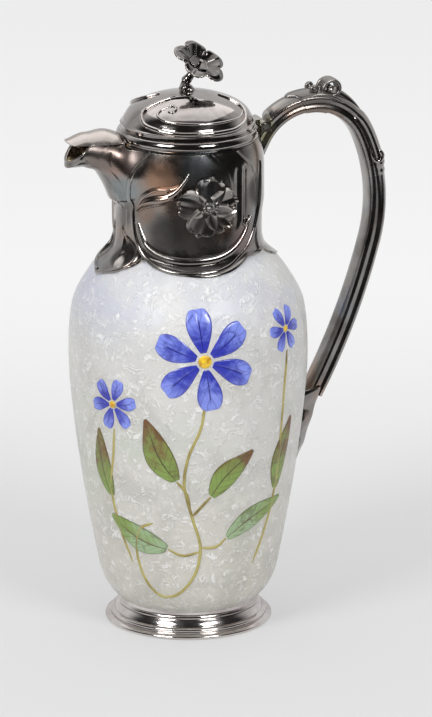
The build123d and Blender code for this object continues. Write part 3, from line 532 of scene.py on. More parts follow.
class Finish(NodeTree):
    """A node material for one finish."""

    def __init__(self, name):
        self.material = bpy.data.materials.new(name)
        self.material.use_nodes = True
        super().__init__(self.material.node_tree)
        self.output = self.node("ShaderNodeOutputMaterial")
        self.shader = self.node("ShaderNodeBsdfPrincipled")
        self.feed(self.output.inputs[0], self.shader.outputs[0])
        self.place = self.node("ShaderNodeTexCoord").outputs["Object"]

    def noise(self, scale, detail=3.0, rough=0.5, warp=0.0):
        return self.node("ShaderNodeTexNoise", {
            "Vector": self.place, "Scale": scale, "Detail": detail,
            "Roughness": rough, "Distortion": warp}).outputs["Fac"]

    def mix(self, share, a, b):
        made = self.node("ShaderNodeMix", {0: share}, data_type="RGBA")
        made.clamp_factor = True
        for index, colour in ((6, a), (7, b)):
            known = isinstance(colour, bpy.types.NodeSocket)
            self.feed(made.inputs[index], colour if known else (*colour[:3], 1.0))
        return made.outputs[2]

    def set(self, **inputs):
        for key, value in inputs.items():
            self.feed(self.shader.inputs[key.replace("_", " ")], value)

    def bump(self, height, distance, strength, below=None):
        """Bumps the surface by a height, over another bump where one is given."""
        inputs = {"Height": height, "Distance": distance, "Strength": strength}
        if below is not None:
            inputs["Normal"] = below
        made = self.node("ShaderNodeBump", inputs).outputs[0]
        self.set(Normal=made)
        return made


WARM_GLASS = (0.60, 0.52, 0.42)
STRAW_GLASS = (0.66, 0.63, 0.54)
GREY_GLASS = (0.40, 0.40, 0.37)


def frosted_glass(colours, sizes):
    """Etched glass: off-white, blue at the shoulder, green lower down, with a crinkled ripple whose crests
    carry a painted highlight.
    """
    f = Finish("frosted_glass")
    height = f.split(f.place)[2]

    # Tints: blue cloud at the shoulder, green and warm drifts below, straw at the foot
    shoulder = f.times(f.span(height, 0.128, 0.172), f.span(f.noise(26.0, 2.0), 0.35, 0.68))
    colour = f.mix(f.times(shoulder, 0.55), colours.glass, colours.glass_blue)
    low = f.times(f.span(f.noise(19.0, 2.0, 0.5, 0.6), 0.48, 0.72), f.span(height, 0.15, 0.085))
    colour = f.mix(f.times(low, 0.5), colour, colours.glass_green)
    warm = f.span(f.noise(33.0, 3.0), 0.5, 0.75)
    colour = f.mix(f.times(warm, 0.30), colour, WARM_GLASS)
    colour = f.mix(f.span(height, 0.125, 0.025, 0.0, 0.55), colour, STRAW_GLASS)
    shade = f.span(f.noise(48.0, 4.0, 0.6, 0.8), 0.42, 0.70, 0.0, 0.32)
    colour = f.mix(f.times(shade, f.span(height, 0.175, 0.12)), colour, GREY_GLASS)
    pale = f.mix(f.times(shoulder, 0.6), (0.90, 0.90, 0.90), colours.glass_blue)
    colour = f.mix(f.span(height, 0.135, 0.170, 0.0, 0.55), colour, pale)

    # Etching: small bright flakes over a soft swell, and broken creases painted near white on the ripple's
    # raised crests as a painted highlight
    ripple = f.math("ABSOLUTE", f.math("SUBTRACT", f.noise(150.0, 2.0, 0.5, 1.7), 0.5))
    broken = f.span(f.noise(210.0, 2.0), 0.46, 0.56)
    crease = f.times(f.span(ripple, 0.0, 0.05, 1.0, 0.0), broken)
    ridge = f.times(f.span(ripple, 0.0, 0.12, 1.0, 0.0), broken)
    flake = f.span(f.noise(330.0, 2.0, 0.5, 1.0), 0.56, 0.66)
    colour = f.mix(f.times(flake, 0.30), colour, (0.95, 0.95, 0.94))
    # Painted highlight: near white along the ripple's raised crests
    colour = f.mix(f.times(crease, 0.90), colour, (1.0, 1.0, 0.99))
    swell = f.bump(f.noise(60.0, 2.0), 1.2 * MM, 0.6)
    f.bump(ridge, sizes.ripple_depth, 0.9, swell)
    f.set(Base_Color=colour, Roughness=0.36, IOR=1.47, Transmission_Weight=0.22,
          Specular_IOR_Level=0.34, Subsurface_Weight=0.20, Subsurface_Scale=0.003)
    f.shader.inputs["Subsurface Radius"].default_value = (1.0, 0.95, 0.85)
    return f.material


# Patches on the mount: centre, full radius, outer radius, colour and strength. Tinted patches are tarnish
# colours; the marked dark ones are painted shade and the bright spot is a painted highlight.
TARNISH_AND_PAINTED_LIGHT = (
    ((-23.0, -27.0, 222.0), 3.0, 13.0, (0.46, 0.25, 0.15), 0.75),
    ((-40.0, -13.0, 229.0), 3.0, 11.0, (0.46, 0.25, 0.19), 0.60),
    ((-29.0, -21.0, 205.0), 3.0, 9.0, (0.34, 0.21, 0.15), 0.50),
    ((-36.0, -13.0, 214.0), 3.0, 10.0, (0.26, 0.32, 0.34), 0.50),
    # Painted shade on the spout's flank, dimming the left lamp's reflection
    ((-33.0, -15.0, 230.0), 4.0, 9.0, (0.15, 0.12, 0.11), 0.90),
    ((-8.0, -34.0, 231.0), 3.0, 14.0, (0.19, 0.24, 0.28), 0.50),
    ((14.0, -31.0, 191.0), 3.0, 12.0, (0.34, 0.25, 0.24), 0.60),
    ((35.0, -3.0, 234.0), 2.0, 8.0, (0.42, 0.40, 0.20), 0.60),
    ((-35.6, -12.2, 184.0), 4.5, 7.5, (0.035, 0.03, 0.028), 0.96),
    ((-35.6, 12.2, 184.0), 4.5, 7.5, (0.035, 0.03, 0.028), 0.96),
    # Painted shade across the cartouche's field
    ((-8.0, -36.0, 200.0), 8.0, 20.0, (0.13, 0.12, 0.115), 0.80),
    # Painted shade on the handle's sheath under the fern bud
    ((61.0, 0.0, 251.0), 7.0, 20.0, (0.17, 0.158, 0.15), 0.85),
    # Painted shade in the cartouche beside its stems and inner roll, in the next three rows
    ((24.5, -27.0, 212.0), 4.0, 9.5, (0.075, 0.07, 0.066), 0.85),
    ((-25.0, -25.5, 186.0), 3.0, 8.0, (0.06, 0.055, 0.05), 0.80),
    ((-21.0, -28.5, 196.0), 5.0, 13.0, (0.075, 0.07, 0.066), 0.80),
    # Painted shade beside the knob at the leaf's tip
    ((-37.0, -7.0, 181.0), 3.0, 6.5, (0.05, 0.045, 0.042), 0.90),
    # Painted highlight: a small bright spot on the knob
    ((-38.6, -10.2, 180.0), 1.2, 3.4, (0.80, 0.74, 0.70), 0.95),
    # Darker and rougher over the spout's flank: painted shade over the left lamp's reflection, with a satin
    # roughness
    ((-45.0, -9.0, 232.0), 5.0, 12.0, (0.24, 0.20, 0.18), 0.90),
)


COPPER_TARNISH = (0.62, 0.34, 0.20)
STEEL_TARNISH = (0.30, 0.36, 0.46)
HOLLOW_TARNISH = (0.05, 0.042, 0.035)
RUBBED_EDGE = (0.86, 0.80, 0.74)


def toned_metal(name, base, dark, roughness, iridescence, patches=()):
    """Silver plate with tarnish in its hollows, faint colours, fine rubbing marks, and listed patches of
    tarnish colour, painted shade and painted highlight.
    """
    f = Finish(name)
    cloud = f.noise(38.0, 4.0, 0.6, 0.4)
    tone = f.mix(f.span(cloud, 0.38, 0.68), base, dark)
    tint = f.noise(23.0, 2.0, 0.5, 0.9)
    tone = f.mix(f.times(f.span(tint, 0.56, 0.70), iridescence), tone, COPPER_TARNISH)
    tone = f.mix(f.times(f.span(tint, 0.44, 0.32), iridescence * 0.8), tone, STEEL_TARNISH)
    satin = 0.0
    ragged = f.times(f.math("SUBTRACT", cloud, 0.5), 12 * MM)
    # Each patch mixes in its colour: a tarnish colour, painted shade or a painted highlight, as the table marks
    for centre, full, outer, colour, strength in patches:
        away = f.node("ShaderNodeVectorMath", {0: f.place, 1: [c * MM for c in centre]}, operation="DISTANCE")
        away = f.math("ADD", away.outputs["Value"], ragged)
        share = f.span(away, full * MM, outer * MM, strength, 0.0)
        tone = f.mix(share, tone, colour)
        satin = f.math("MAXIMUM", satin, share)
    hollow = f.node("ShaderNodeNewGeometry").outputs["Pointiness"]
    tone = f.mix(f.span(hollow, 0.485, 0.43, 0.0, 0.85), tone, HOLLOW_TARNISH)
    tone = f.mix(f.span(hollow, 0.52, 0.60, 0.0, 0.35), tone, RUBBED_EDGE)
    wear = f.noise(70.0, 5.0, 0.65)
    f.bump(f.noise(900.0, 2.0), 0.05 * MM, 0.25, f.bump(wear, 0.35 * MM, 0.16))
    polish = f.span(wear, 0.3, 0.75, roughness * 0.7, roughness * 1.6)
    f.set(Base_Color=tone, Metallic=1.0, Roughness=f.math("ADD", polish, f.times(satin, 0.22)))
    return f.material


def plain_metal(name, base, roughness):
    """Metal of pins, screws and nuts, with turning marks."""
    f = Finish(name)
    cloud = f.noise(120.0, 3.0)
    tone = f.mix(f.span(cloud, 0.4, 0.7), base, [c * 0.6 for c in base])
    f.bump(f.noise(1400.0, 2.0), 0.03 * MM, 0.3)
    f.set(Base_Color=tone, Metallic=1.0, Roughness=f.span(cloud, 0.3, 0.8, roughness, roughness * 1.5))
    return f.material


def plaster_finish():
    """Off-white plaster with fine grains."""
    f = Finish("bedding_plaster")
    tone = f.mix(f.span(f.noise(150.0, 3.0), 0.35, 0.7), (0.70, 0.66, 0.58), (0.56, 0.51, 0.43))
    f.bump(f.noise(1800.0, 4.0, 0.7), 0.12 * MM, 0.6)
    f.set(Base_Color=tone, Roughness=0.9)
    return f.material


def gilt_finish(colours):
    """Worn gilding inside the spout."""
    f = Finish("worn_gilding")
    cloud = f.noise(140.0, 4.0, 0.6)
    tone = f.mix(f.span(cloud, 0.42, 0.7), colours.gilt, (0.55, 0.50, 0.44))
    f.bump(cloud, 0.1 * MM, 0.3)
    f.set(Base_Color=tone, Metallic=1.0, Roughness=f.span(cloud, 0.3, 0.8, 0.22, 0.4))
    return f.material


def enamel_finish(name, tip, base, edge, vein, veins, gloss=0.22):
    """Enamel shaded from its base to its tip, with veins, from the piece's own flat map."""
    f = Finish(name)
    u, v, _ = f.split(f.node("ShaderNodeUVMap").outputs[0])
    across = f.times(f.math("ABSOLUTE", f.math("SUBTRACT", u, 0.5)), 2.0)
    cloud = f.noise(90.0, 3.0, 0.55, 0.8)
    depth = f.math("ADD", f.times(v, 0.75), f.times(f.math("SUBTRACT", cloud, 0.5), 1.5))
    tone = f.mix(f.span(depth, 0.1, 0.75), base, tip)
    blot = f.span(f.noise(150.0, 3.0, 0.6, 1.2), 0.50, 0.66)
    tone = f.mix(f.times(blot, 0.55), tone, edge)
    side = f.math("SUBTRACT", f.times(v, veins), f.times(across, 1.7))
    side = f.math("ABSOLUTE", f.math("SUBTRACT", f.math("FRACT", side), 0.5))
    tone = f.mix(f.times(f.span(side, 0.40, 0.5), 0.5), tone, vein)
    tone = f.mix(f.span(across, 0.84, 0.97, 0.0, 0.85), tone, edge)
    middle = f.times(f.span(across, 0.085, 0.02), f.span(v, 0.85, 0.68))
    tone = f.mix(f.times(middle, 0.9), tone, vein)
    f.bump(f.noise(420.0, 2.0), 0.06 * MM, 0.4, f.bump(cloud, 0.3 * MM, 0.3))
    f.set(Base_Color=tone, Roughness=gloss, Specular_IOR_Level=0.5, Coat_Weight=0.3, Coat_Roughness=0.1)
    return f.material


def clouded_enamel(name, light, dark, scale):
    """Enamel of stalks and blossom hearts, light with darker clouds."""
    f = Finish(name)
    cloud = f.noise(scale, 3.0, 0.6, 0.5)
    tone = f.mix(f.span(cloud, 0.42, 0.68), light, dark)
    f.bump(cloud, 0.2 * MM, 0.4)
    f.set(Base_Color=tone, Roughness=0.3, Coat_Weight=0.3, Coat_Roughness=0.1)
    return f.material


FINISHES = {}


def finishes():
    """Every finish by name, made once."""
    if not FINISHES:
        colours = bpy.context.scene.carafe_colours
        made = [
            frosted_glass(colours, bpy.context.scene.carafe_sizes),
            toned_metal("mount_metal", colours.mount, (0.16, 0.148, 0.14), 0.15, 0.30, TARNISH_AND_PAINTED_LIGHT),
            # Lighter copy of the mount's silver for the lid: painted light on its upward faces
            toned_metal("lid_metal_painted_light", (0.46, 0.43, 0.415), (0.22, 0.20, 0.19), 0.09, 0.10),
            # Lighter copy of the mount's silver for the spout's hood: painted light on its upward face
            toned_metal("hood_metal_painted_light", (0.50, 0.45, 0.42), (0.40, 0.355, 0.33), 0.24, 0.04),
            # Darker copy of the mount's silver for the finial: painted shade
            toned_metal("finial_metal_painted_shade", (0.19, 0.18, 0.175), (0.085, 0.078, 0.073), 0.13, 0.05),
            toned_metal("foot_metal", colours.foot, (0.50, 0.45, 0.44), 0.13, 0.06),
            plain_metal("fixing_metal", (0.55, 0.53, 0.50), 0.28),
            plaster_finish(),
            gilt_finish(colours),
            enamel_finish("blue_enamel", (0.22, 0.28, 0.78), colours.blue,
                          (0.03, 0.03, 0.30), (0.015, 0.015, 0.18), 3.0),
            enamel_finish("leaf_enamel", colours.leaf_brown, colours.leaf,
                          (0.09, 0.05, 0.015), (0.05, 0.03, 0.01), 7.0, 0.3),
            enamel_finish("pale_leaf_enamel", colours.leaf, (0.30, 0.42, 0.24),
                          (0.08, 0.08, 0.03), (0.10, 0.05, 0.02), 8.0, 0.3),
            clouded_enamel("stem_enamel", (0.42, 0.36, 0.11), (0.20, 0.15, 0.03), 70.0),
            clouded_enamel("yellow_enamel", (0.85, 0.58, 0.03), (0.50, 0.22, 0.01), 320.0),
        ]
        for material in made:
            FINISHES[material.name.split(".")[0]] = material
    return FINISHES


# Glass ------------------------------------------------------------------

AXIS_R = 0.001      # an outline that closes on the axis ends this near to it
FINE_STEPS = 144
GLASS_TOP = 214.0


def arc_points(centre, radius, start, end, count):
    """Points on an arc in an outline, angles in degrees."""
    turns = np.radians(np.linspace(start, end, count))
    return [(centre[0] + radius * cos(t), centre[1] + radius * sin(t)) for t in turns]


def make_glass():
    """Blown body: outside, lip, inside and floor turned as one closed form."""
    wall = bpy.context.scene.carafe_sizes.glass_wall / MM
    heights = np.concatenate(
        [np.linspace(12.8, 36, 10), np.linspace(39, 150, 34)[:-1], np.linspace(150, 190, 26)])
    outside = list(zip(glass_radius(heights), heights))
    heel = [(AXIS_R, 8.0), (8, 7.8), (15, 7.2), (19.8, 6.6), (21.4, 6.45), (22.8, 6.5), (26.5, 8.0),
            (30.8, 10.2)]
    lip = arc_points((NECK_R - wall / 2, GLASS_TOP), wall / 2, 0, 180, 7)
    inner = heights[heights > 21.8][::-1]
    inside = [(r - wall, z) for r, z in zip(glass_radius(inner), inner)]
    floor = [(36.2, 20.0), (34.4, 17.2), (31.5, 14.6), (28.2, 13.1), (25.4, 12.5), (14, 12.5), (AXIS_R, 12.5)]
    neck = 202.0
    outline = heel + outside + [(NECK_R, neck)] + lip + [(NECK_R - wall, neck)] + inside + floor
    piece = turned_piece("carafe_glass", outline, FINE_STEPS, 60.0)
    finish_piece(piece, "jug", "frosted_glass", "frosted_glass", "glass_body")


def make_plaster():
    """The beds between metal and glass keep their own solids and get a finish."""
    finish_nodes("bedding_plaster", "foot_plaster", "collar_plaster", "terminal_plaster")


# Foot -------------------------------------------------------------------

def make_foot():
    """Spun foot: wired edge, flat step, bead, cove, fillet and the gallery round the heel."""
    outline = [(36.0, 0.0), (38.4, 0.0), (38.5, 0.4), (38.5, 1.9), (38.2, 2.1), (37.0, 2.45), (36.6, 2.55)]
    outline += [(36.6, 2.9)] + arc_points((35.9, 3.7), 0.95, -50, 75, 7)
    outline += [(35.2, 4.75), (34.9, 4.8), (34.7, 5.15)]
    outline += [(34.4, 5.9), (33.7, 6.9), (33.0, 7.7), (32.75, 8.1), (33.2, 8.5), (33.5, 9.1), (33.3, 9.7)]
    outline += [(32.9, 10.0), (32.75, 10.5), (32.8, 11.2), (32.7, 11.8), (32.2, 12.0)]
    outline += [(31.5, 11.7), (30.9, 10.6), (30.7, 9.9)]
    outline += [(30.7, 5.6), (32.0, 3.8), (35.0, 1.9), (36.0, 1.0), (36.0, 0.0)]
    piece = turned_piece("spun_foot", outline, FINE_STEPS, 35.0)
    finish_piece(piece, "jug", "foot_metal", "foot_metal", "foot_shell")
    ring = arc_points((38.5, 1.1), 0.9, 0, 360, 17)
    wire = turned_piece("foot_edge_wire", ring, FINE_STEPS, 60.0)
    finish_piece(wire, "jug", "foot_metal", "foot_metal", "foot_wire")


# Collar and spout -------------------------------------------------------

# Raised lines, as angles and heights on the near side
INNER_ARC = smooth_line(
    [(226, 236), (242, 236.3), (263, 235), (276, 228.6), (282, 220.7), (285, 213.4), (286, 207)])
OUTER_ARC = smooth_line([(262, 235), (285, 234.7), (295, 230), (304, 224), (309, 215), (311, 206)])
FLANK_RIDGE = smooth_line([(184.5, 227.5), (188, 226.5), (193, 224.5), (198, 219), (200, 212), (199.5, 203)])
FLANK_FOLD = smooth_line([(186, 221), (190, 217.5), (194, 211), (196, 202), (195, 193)])


# Route, height and half width of each raised line
COLLAR_LINES = (
    (INNER_ARC, 0.55, 0.9), (OUTER_ARC, 0.50, 0.8), (FLANK_RIDGE, 0.50, 0.55), (FLANK_FOLD, 0.40, 0.7),
)
RIB_ANGLE = 294.0
DROP_PLACE = (198.5, 183.5)
KNOB_PLACE = (195.0, 180.4)
SKIRT_DEGREE = 0.68      # millimetres a degree round the flared skirt
DROP_LEAN = (0.86, 0.51)
DROP_HALF = 5.8
DROP_TOP = 11.0
DROP_FOOT = 5.6


def collar_relief(angle, height, edge):
    """Height of the cast relief on the collar, in millimetres, alike on both sides."""
    folded = np.where(angle < 180, 360 - angle, angle)
    s = np.radians(folded) * COLLAR_R
    relief = np.zeros(s.shape)
    for route, rise, half in COLLAR_LINES:
        flat = route.copy()
        flat[:, 0] = np.radians(flat[:, 0]) * COLLAR_R
        gap, share = nearest_on(flat, s, height)
        taper = np.clip(np.minimum(share, 1 - share) * 5, 0, 1)
        relief += rise * taper * bell(gap, half)

    # Upright rib behind the panel, with a groove on each side
    rib = np.abs(s - radians(RIB_ANGLE) * COLLAR_R)
    reach = smooth_step(196, 200, height) * smooth_step(227, 223, height)
    relief += (0.55 * bell(rib, 0.9, 4) - 0.5 * bell(rib - 2.4, 0.8)) * reach

    # Leaning teardrop sunk in the leaf below the spout, its rim raised, and a knob at the leaf's tip
    out, rise = (folded - DROP_PLACE[0]) * SKIRT_DEGREE, height - DROP_PLACE[1]
    along = DROP_LEAN[0] * rise - DROP_LEAN[1] * out
    across = DROP_LEAN[0] * out + DROP_LEAN[1] * rise
    half = np.where(along > 0, DROP_HALF * (1 - 0.078 * np.clip(along, 0, 10.4)), DROP_HALF)
    drop = np.hypot(across / half, along / np.where(along > 0, DROP_TOP, DROP_FOOT))
    relief -= smooth_step(1.0, 0.62, drop)
    relief += 0.55 * bell(drop - 1.13, 0.10)
    knob = np.hypot((folded - KNOB_PLACE[0]) * SKIRT_DEGREE, height - KNOB_PLACE[1])
    relief += 1.1 * bell(knob, 2.3, 4)

    # Bead along the lower edge
    relief += 0.65 * bell(height - edge - 0.7, 0.55)
    return relief


MOUTH_REACH = 50.5
MOUTH_LENGTH = 9.0
MOUTH_DROP = 8.2


def spout_top(angle):
    """Height of the collar's upper edge, carried up the spout and down its cut mouth."""
    probe = mount_radius(angle, np.full(angle.shape, 235.0))
    raised = COLLAR_TOP + (HOOD_Z - COLLAR_TOP) * smooth_step(34.2, 36.5, probe)
    for _ in range(14):
        reach = -mount_radius(angle, raised) * np.cos(np.radians(angle))
        limit = HOOD_Z - np.clip((reach - MOUTH_REACH) / MOUTH_LENGTH, 0, 1) * MOUTH_DROP
        over = (reach > MOUTH_REACH) & (raised > limit)
        raised = np.where(over, raised - 0.4 * np.maximum(raised - limit, 0.15), raised)
    return raised


def make_collar():
    """Cast collar with the spout drawn out of it, worked as one skin and given a wall."""
    columns, rows = 336, 112
    shares = np.linspace(0, 1, 260)

    def place(u, v):
        turns = np.unique(np.round(u, 6))
        # The columns lie closer together round the spout than behind
        angles = 360 * (turns + 0.5 * np.sin(2 * pi * turns) / (2 * pi))
        low = border_height(angles)
        rise = spout_top(angles) - low
        heights = low[:, None] + rise[:, None] * shares
        radii = mount_radius(np.repeat(angles, len(shares)), heights.ravel()).reshape(heights.shape)
        run = np.cumsum(np.hypot(np.diff(radii, axis=1), np.diff(heights, axis=1)), axis=1)
        column = np.searchsorted(turns, np.round(u, 6))
        height = np.empty(u.shape)
        for index in range(len(turns)):
            here = column == index
            along = np.append(0, run[index]) / run[index, -1]
            height[here] = np.interp(v[here], along, heights[index])
        angle = angles[column]
        edge = low[column]
        radius = mount_radius(angle, height) + collar_relief(angle, height, edge)
        radius = np.maximum(radius, glass_radius(height) + GLASS_CLEARANCE)
        return round_axis(angle, radius, height)

    piece = grid_piece("cast_collar", columns, rows, place)
    edit_whole(piece)
    bpy.ops.mesh.remove_doubles(threshold=0.01 * MM)
    bpy.ops.object.mode_set(mode="OBJECT")
    # The wall's inside takes the second finish
    give_finish(piece, "mount_metal")
    piece.data.materials.append(finishes()["worn_gilding"])
    wall = bpy.context.scene.carafe_sizes.collar_wall
    apply_modifier(piece, "SOLIDIFY", thickness=wall, offset=-1.0, material_offset=1, use_quality_normals=True)
    bpy.ops.object.shade_smooth_by_angle(angle=radians(50))
    around = np.linspace(168.6, 191.4, 140)
    lip = 0.45
    beads = [tube_piece("mouth_lip", on_mount(around, spout_top(around), -lip), np.full(len(around), lip), 12)]
    roll = smooth_line(
        [(28.8, 189.5), (28.3, 184.8), (25.5, 180), (20, 177), (14, 175.4), (7, 174.4), (2, 174.0)], 9)
    thick = 0.3 + 0.55 * np.sin(np.linspace(0.05, 0.85, len(roll)) * pi)
    for sign in (-1, 1):
        beads.append(tube_piece("leaf_roll", on_mount(180 + sign * roll[:, 0], roll[:, 1], 0.2), thick, 16))
    for bead in beads:
        give_finish(bead, "mount_metal")
    piece = join_pieces([piece, *beads], "cast_collar")
    place_piece(piece, "jug", "mount_metal", "neck_collar", "spout_trough")


def make_rim():
    """Rim ring with a small bead, on which the lid closes."""
    outline = [(30.0, 230.0), (31.1, 231.5), (31.1, 233.0), (33.2, 233.0), (33.5, 233.3), (33.4, 233.8),
               (33.1, 234.0), (33.4, 234.3), (33.4, 234.8), (33.2, 235.0), (30.2, 235.0), (30.0, 234.8),
               (30.0, 230.0)]
    piece = turned_piece("collar_rim_ring", outline, 128, 35.0)
    finish_piece(piece, "jug", "mount_metal", "mount_metal", "collar_rim")


HOOD_ROOT = 33.9


def make_hood():
    """Low hood over the spout with a rounded nose."""
    reach_line, centre, slope, half, rise = SPOUT_LINE.T

    def place(u, v):
        guess = np.full(u.shape, 45.0)
        side = np.zeros(u.shape)
        for _ in range(6):
            start = np.sqrt(np.maximum(HOOD_ROOT ** 2 - side ** 2, 0))
            nose = NOSE_START + NOSE_LENGTH * np.sqrt(np.maximum(1 - (side / NOSE_HALF) ** 2, 0))
            guess = start + (nose - start) * v
            a = np.interp(guess, reach_line, half)
            b = np.interp(guess, reach_line, rise) / np.cos(np.radians(np.interp(guess, reach_line, slope)))
            c = np.interp(guess, reach_line, centre)
            low = np.clip((HOOD_Z - 0.05 - c) / b, -0.98, 0.98)      # the sine where the hood meets the spout
            turn = np.arcsin(low) + (pi - 2 * np.arcsin(low)) * u
            side = -a * np.cos(turn)
        return np.stack([-guess, side, c + b * np.sin(turn)], -1)

    piece = grid_piece("spout_cover", 40, 60, place)
    apply_modifier(piece, "SOLIDIFY", thickness=0.9 * MM, offset=-1.0, use_quality_normals=True)
    edit_whole(piece)
    bpy.ops.mesh.bisect(plane_co=(0, 0, (HOOD_Z + 0.02) * MM), plane_no=(0, 0, 1),
                        clear_inner=True, use_fill=True)
    settle(piece, 50.0)
    # The hood takes a lighter copy of the mount's silver, a painted light
    finish_piece(piece, "jug", "mount_metal", "hood_metal_painted_light", "spout_hood")


# Angles and heights of the stem round the panel and of the thick roll inside it
STEM_ROUTE = [
    (219, 233.2), (212, 229), (207, 223), (203.4, 214), (202.4, 202), (205.5, 191.5), (214, 184.5),
    (227, 180.4), (243, 178.4), (260, 178.2), (276, 179.4), (290, 182.6), (302, 187.5), (311, 195),
    (317.5, 204.5), (320.5, 215), (321.5, 225),
]
ROLL_ROUTE = [
    (208.2, 199), (211.5, 194), (217, 188.8), (229, 185), (244, 183.2), (260, 183.2), (275, 184.4),
    (288, 188), (298, 194), (304, 201),
]


def make_stems():
    """Raised whiplash stem and the thick roll inside it, on the near and far sides."""
    route = smooth_line(STEM_ROUTE, 9)
    share = np.linspace(0, 1, len(route))
    thick = 1.3 * (0.45 + 0.55 * np.minimum(1, share * 7)) * (0.75 + 0.25 * np.minimum(1, (1 - share) * 8))
    sink = 0.2 * thick - 0.55 - 0.35 * smooth_step(0.30, 0.42, share) * smooth_step(0.85, 0.75, share)
    stem = tube_piece("stem_outer", on_mount(route[:, 0], route[:, 1], sink), thick, 16)
    roll = smooth_line(ROLL_ROUTE, 9)
    width = 2.5 * arch(np.linspace(0, 1, len(roll)), 0.03, 0.94, 0.55)
    bed = on_mount(roll[:, 0], roll[:, 1], -0.25 * width)
    inner = tube_piece("stem_inner", bed, np.maximum(width, 0.15), 20)
    curl = smooth_line(
        [(304, 201), (301, 199.5), (298.5, 197.6), (296, 198.6), (296.5, 200.8), (298.4, 200.9)], 8)
    thin = np.linspace(0.8, 0.35, len(curl))
    scroll = tube_piece("stem_scroll", on_mount(curl[:, 0], curl[:, 1], thin - 0.25), thin, 12)
    finish_both_sides([stem, inner, scroll], "whiplash", "stem")


FLOWER_PLACE = (265.0, 208.6)
PETAL_TURNS = (82, 168, 250, 318, 12)
PETAL_LENGTH = 14.0
PETAL_WIDTH = 12.6
PETAL_RIPPLE = 0.30
STAMENS = 10


def on_flower(side, up, lift):
    """Points on the collar beside and above the flower's middle, in millimetres."""
    return on_mount(FLOWER_PLACE[0] + np.degrees(side / COLLAR_R), FLOWER_PLACE[1] + up, lift)


def petal_place(turn):
    """Placer for one dished petal that grows from the flower's middle at a turn."""
    c, s = cos(turn), sin(turn)

    def place(u, v):
        share = np.abs(2 * (u - 0.5))
        along = PETAL_LENGTH * (0.16 + 0.84 * np.sin(v * pi / 2) - 0.10 * share ** 2.4 * v)
        across = (u - 0.5) * PETAL_WIDTH * arch(v, 0.17, 0.80, 0.65)
        rim = np.maximum(share ** 3, smooth_step(0.72, 1.0, v))
        lift = 0.25 + 1.75 * rim + 0.5 * (1 - v) + PETAL_RIPPLE * np.cos(u * 5 * pi) * v
        lift = np.where((v > 0.985) | (u < 0.01) | (u > 0.99), lift * 0.55, lift)
        return on_flower(along * c - across * s, along * s + across * c, lift)

    return place


def make_flowers():
    """Five dished petals, ribbed, round a beaded boss, on the near and far sides."""
    parts = []
    for index, turn in enumerate(PETAL_TURNS):
        petal = grid_piece(f"petal_{index}", 34, 18, petal_place(radians(turn)))
        apply_modifier(petal, "SOLIDIFY", thickness=0.9 * MM, offset=-1.0)
        parts.append(settle(petal, 60.0))

    # Reach, turn, lift and radius of the stamens round the boss, and of the boss itself
    beads = [(2.1, 2 * pi * index / STAMENS, 1.9, 0.85) for index in range(STAMENS)]
    for reach, turn, lift, radius in (*beads, (0.0, 0.0, 2.2, 1.5)):
        seat = on_flower(np.array([reach * cos(turn)]), np.array([reach * sin(turn)]), lift)[0]
        clear_selection()
        bpy.ops.mesh.primitive_uv_sphere_add(segments=14, ring_count=9, radius=radius * MM, location=seat * MM)
        bead = bpy.context.object
        apply_place(bead)
        bpy.ops.object.shade_smooth()
        parts.append(bead)
    finish_both_sides(parts, "cast_flower", "flower")


def make_buds():
    """Long folded bud whose tip turns up towards the rim, on the near and far sides."""
    spine = smooth_line(
        [(207.5, 205.5), (214, 209.5), (222, 212.2), (231, 213.8), (239, 215.5), (245, 219)], 10)

    def place(u, v):
        at = v * (len(spine) - 1)
        angle, height = (np.interp(at, np.arange(len(spine)), spine[:, k]) for k in (0, 1))
        across = (u - 0.5) * 2 * 4.6 * arch(v, 0.06, 0.92, 0.75)
        crown = np.cos((u - 0.5) * pi)
        fold = 0.75 * np.cos((u - 0.5) * 3.0 * pi + 2.4 * v + 0.8)
        lift = (1.9 * crown ** 0.6 + fold * crown) * arch(v, 0.08, 0.9, 0.5)
        lift = np.where((u < 0.01) | (u > 0.99), -0.4, lift)
        return on_mount(angle - across * 0.35, height + across, lift)

    body = grid_piece("bud_body", 26, 40, place)
    close_holes(body)
    settle(body, 60.0)
    tip = smooth_line([(236, 214.2), (241, 216.2), (245, 219), (248.5, 222), (251, 224.8)], 8)
    thick = np.linspace(1.7, 0.5, len(tip))
    point = tube_piece("bud_tip", on_mount(tip[:, 0], tip[:, 1], thick + 0.2), thick, 14)
    fold_line = smooth_line([(209, 207), (216, 212.5), (226, 216.5), (233, 217), (240, 217.5)], 8)
    thin = 0.75 * np.sin(np.linspace(0.08, 0.97, len(fold_line)) * pi) ** 0.6
    fold = tube_piece("bud_fold", on_mount(fold_line[:, 0], fold_line[:, 1], thin + 0.5), thin, 12)
    finish_both_sides([body, point, fold], "cast_bud", "bud")


# Handle -----------------------------------------------------------------

HANDLE_START = (34.8, 229.6)
HANDLE_SLOPE = 63.6
HANDLE_TURN = 6.857      # radians that the first arc turns over a whole share of the handle's length
HANDLE_ROOT = 9.0
HANDLE_CUT = 34.0

# Radius, angle and steps of each arc
HANDLE_ARCS = ((28.7, 128.9, 72), (78.7, 39.5, 40), (323.6, 13.8, 36))
BUD_SHARE = 0.205
BUD_LIFT = 6.6
BRACT_END = 0.398
HINGE_SEAT = (29.55, 0.0, 244.2)
HINGE_SEAT_SIZE = (19.0, 30.0, 20.0)


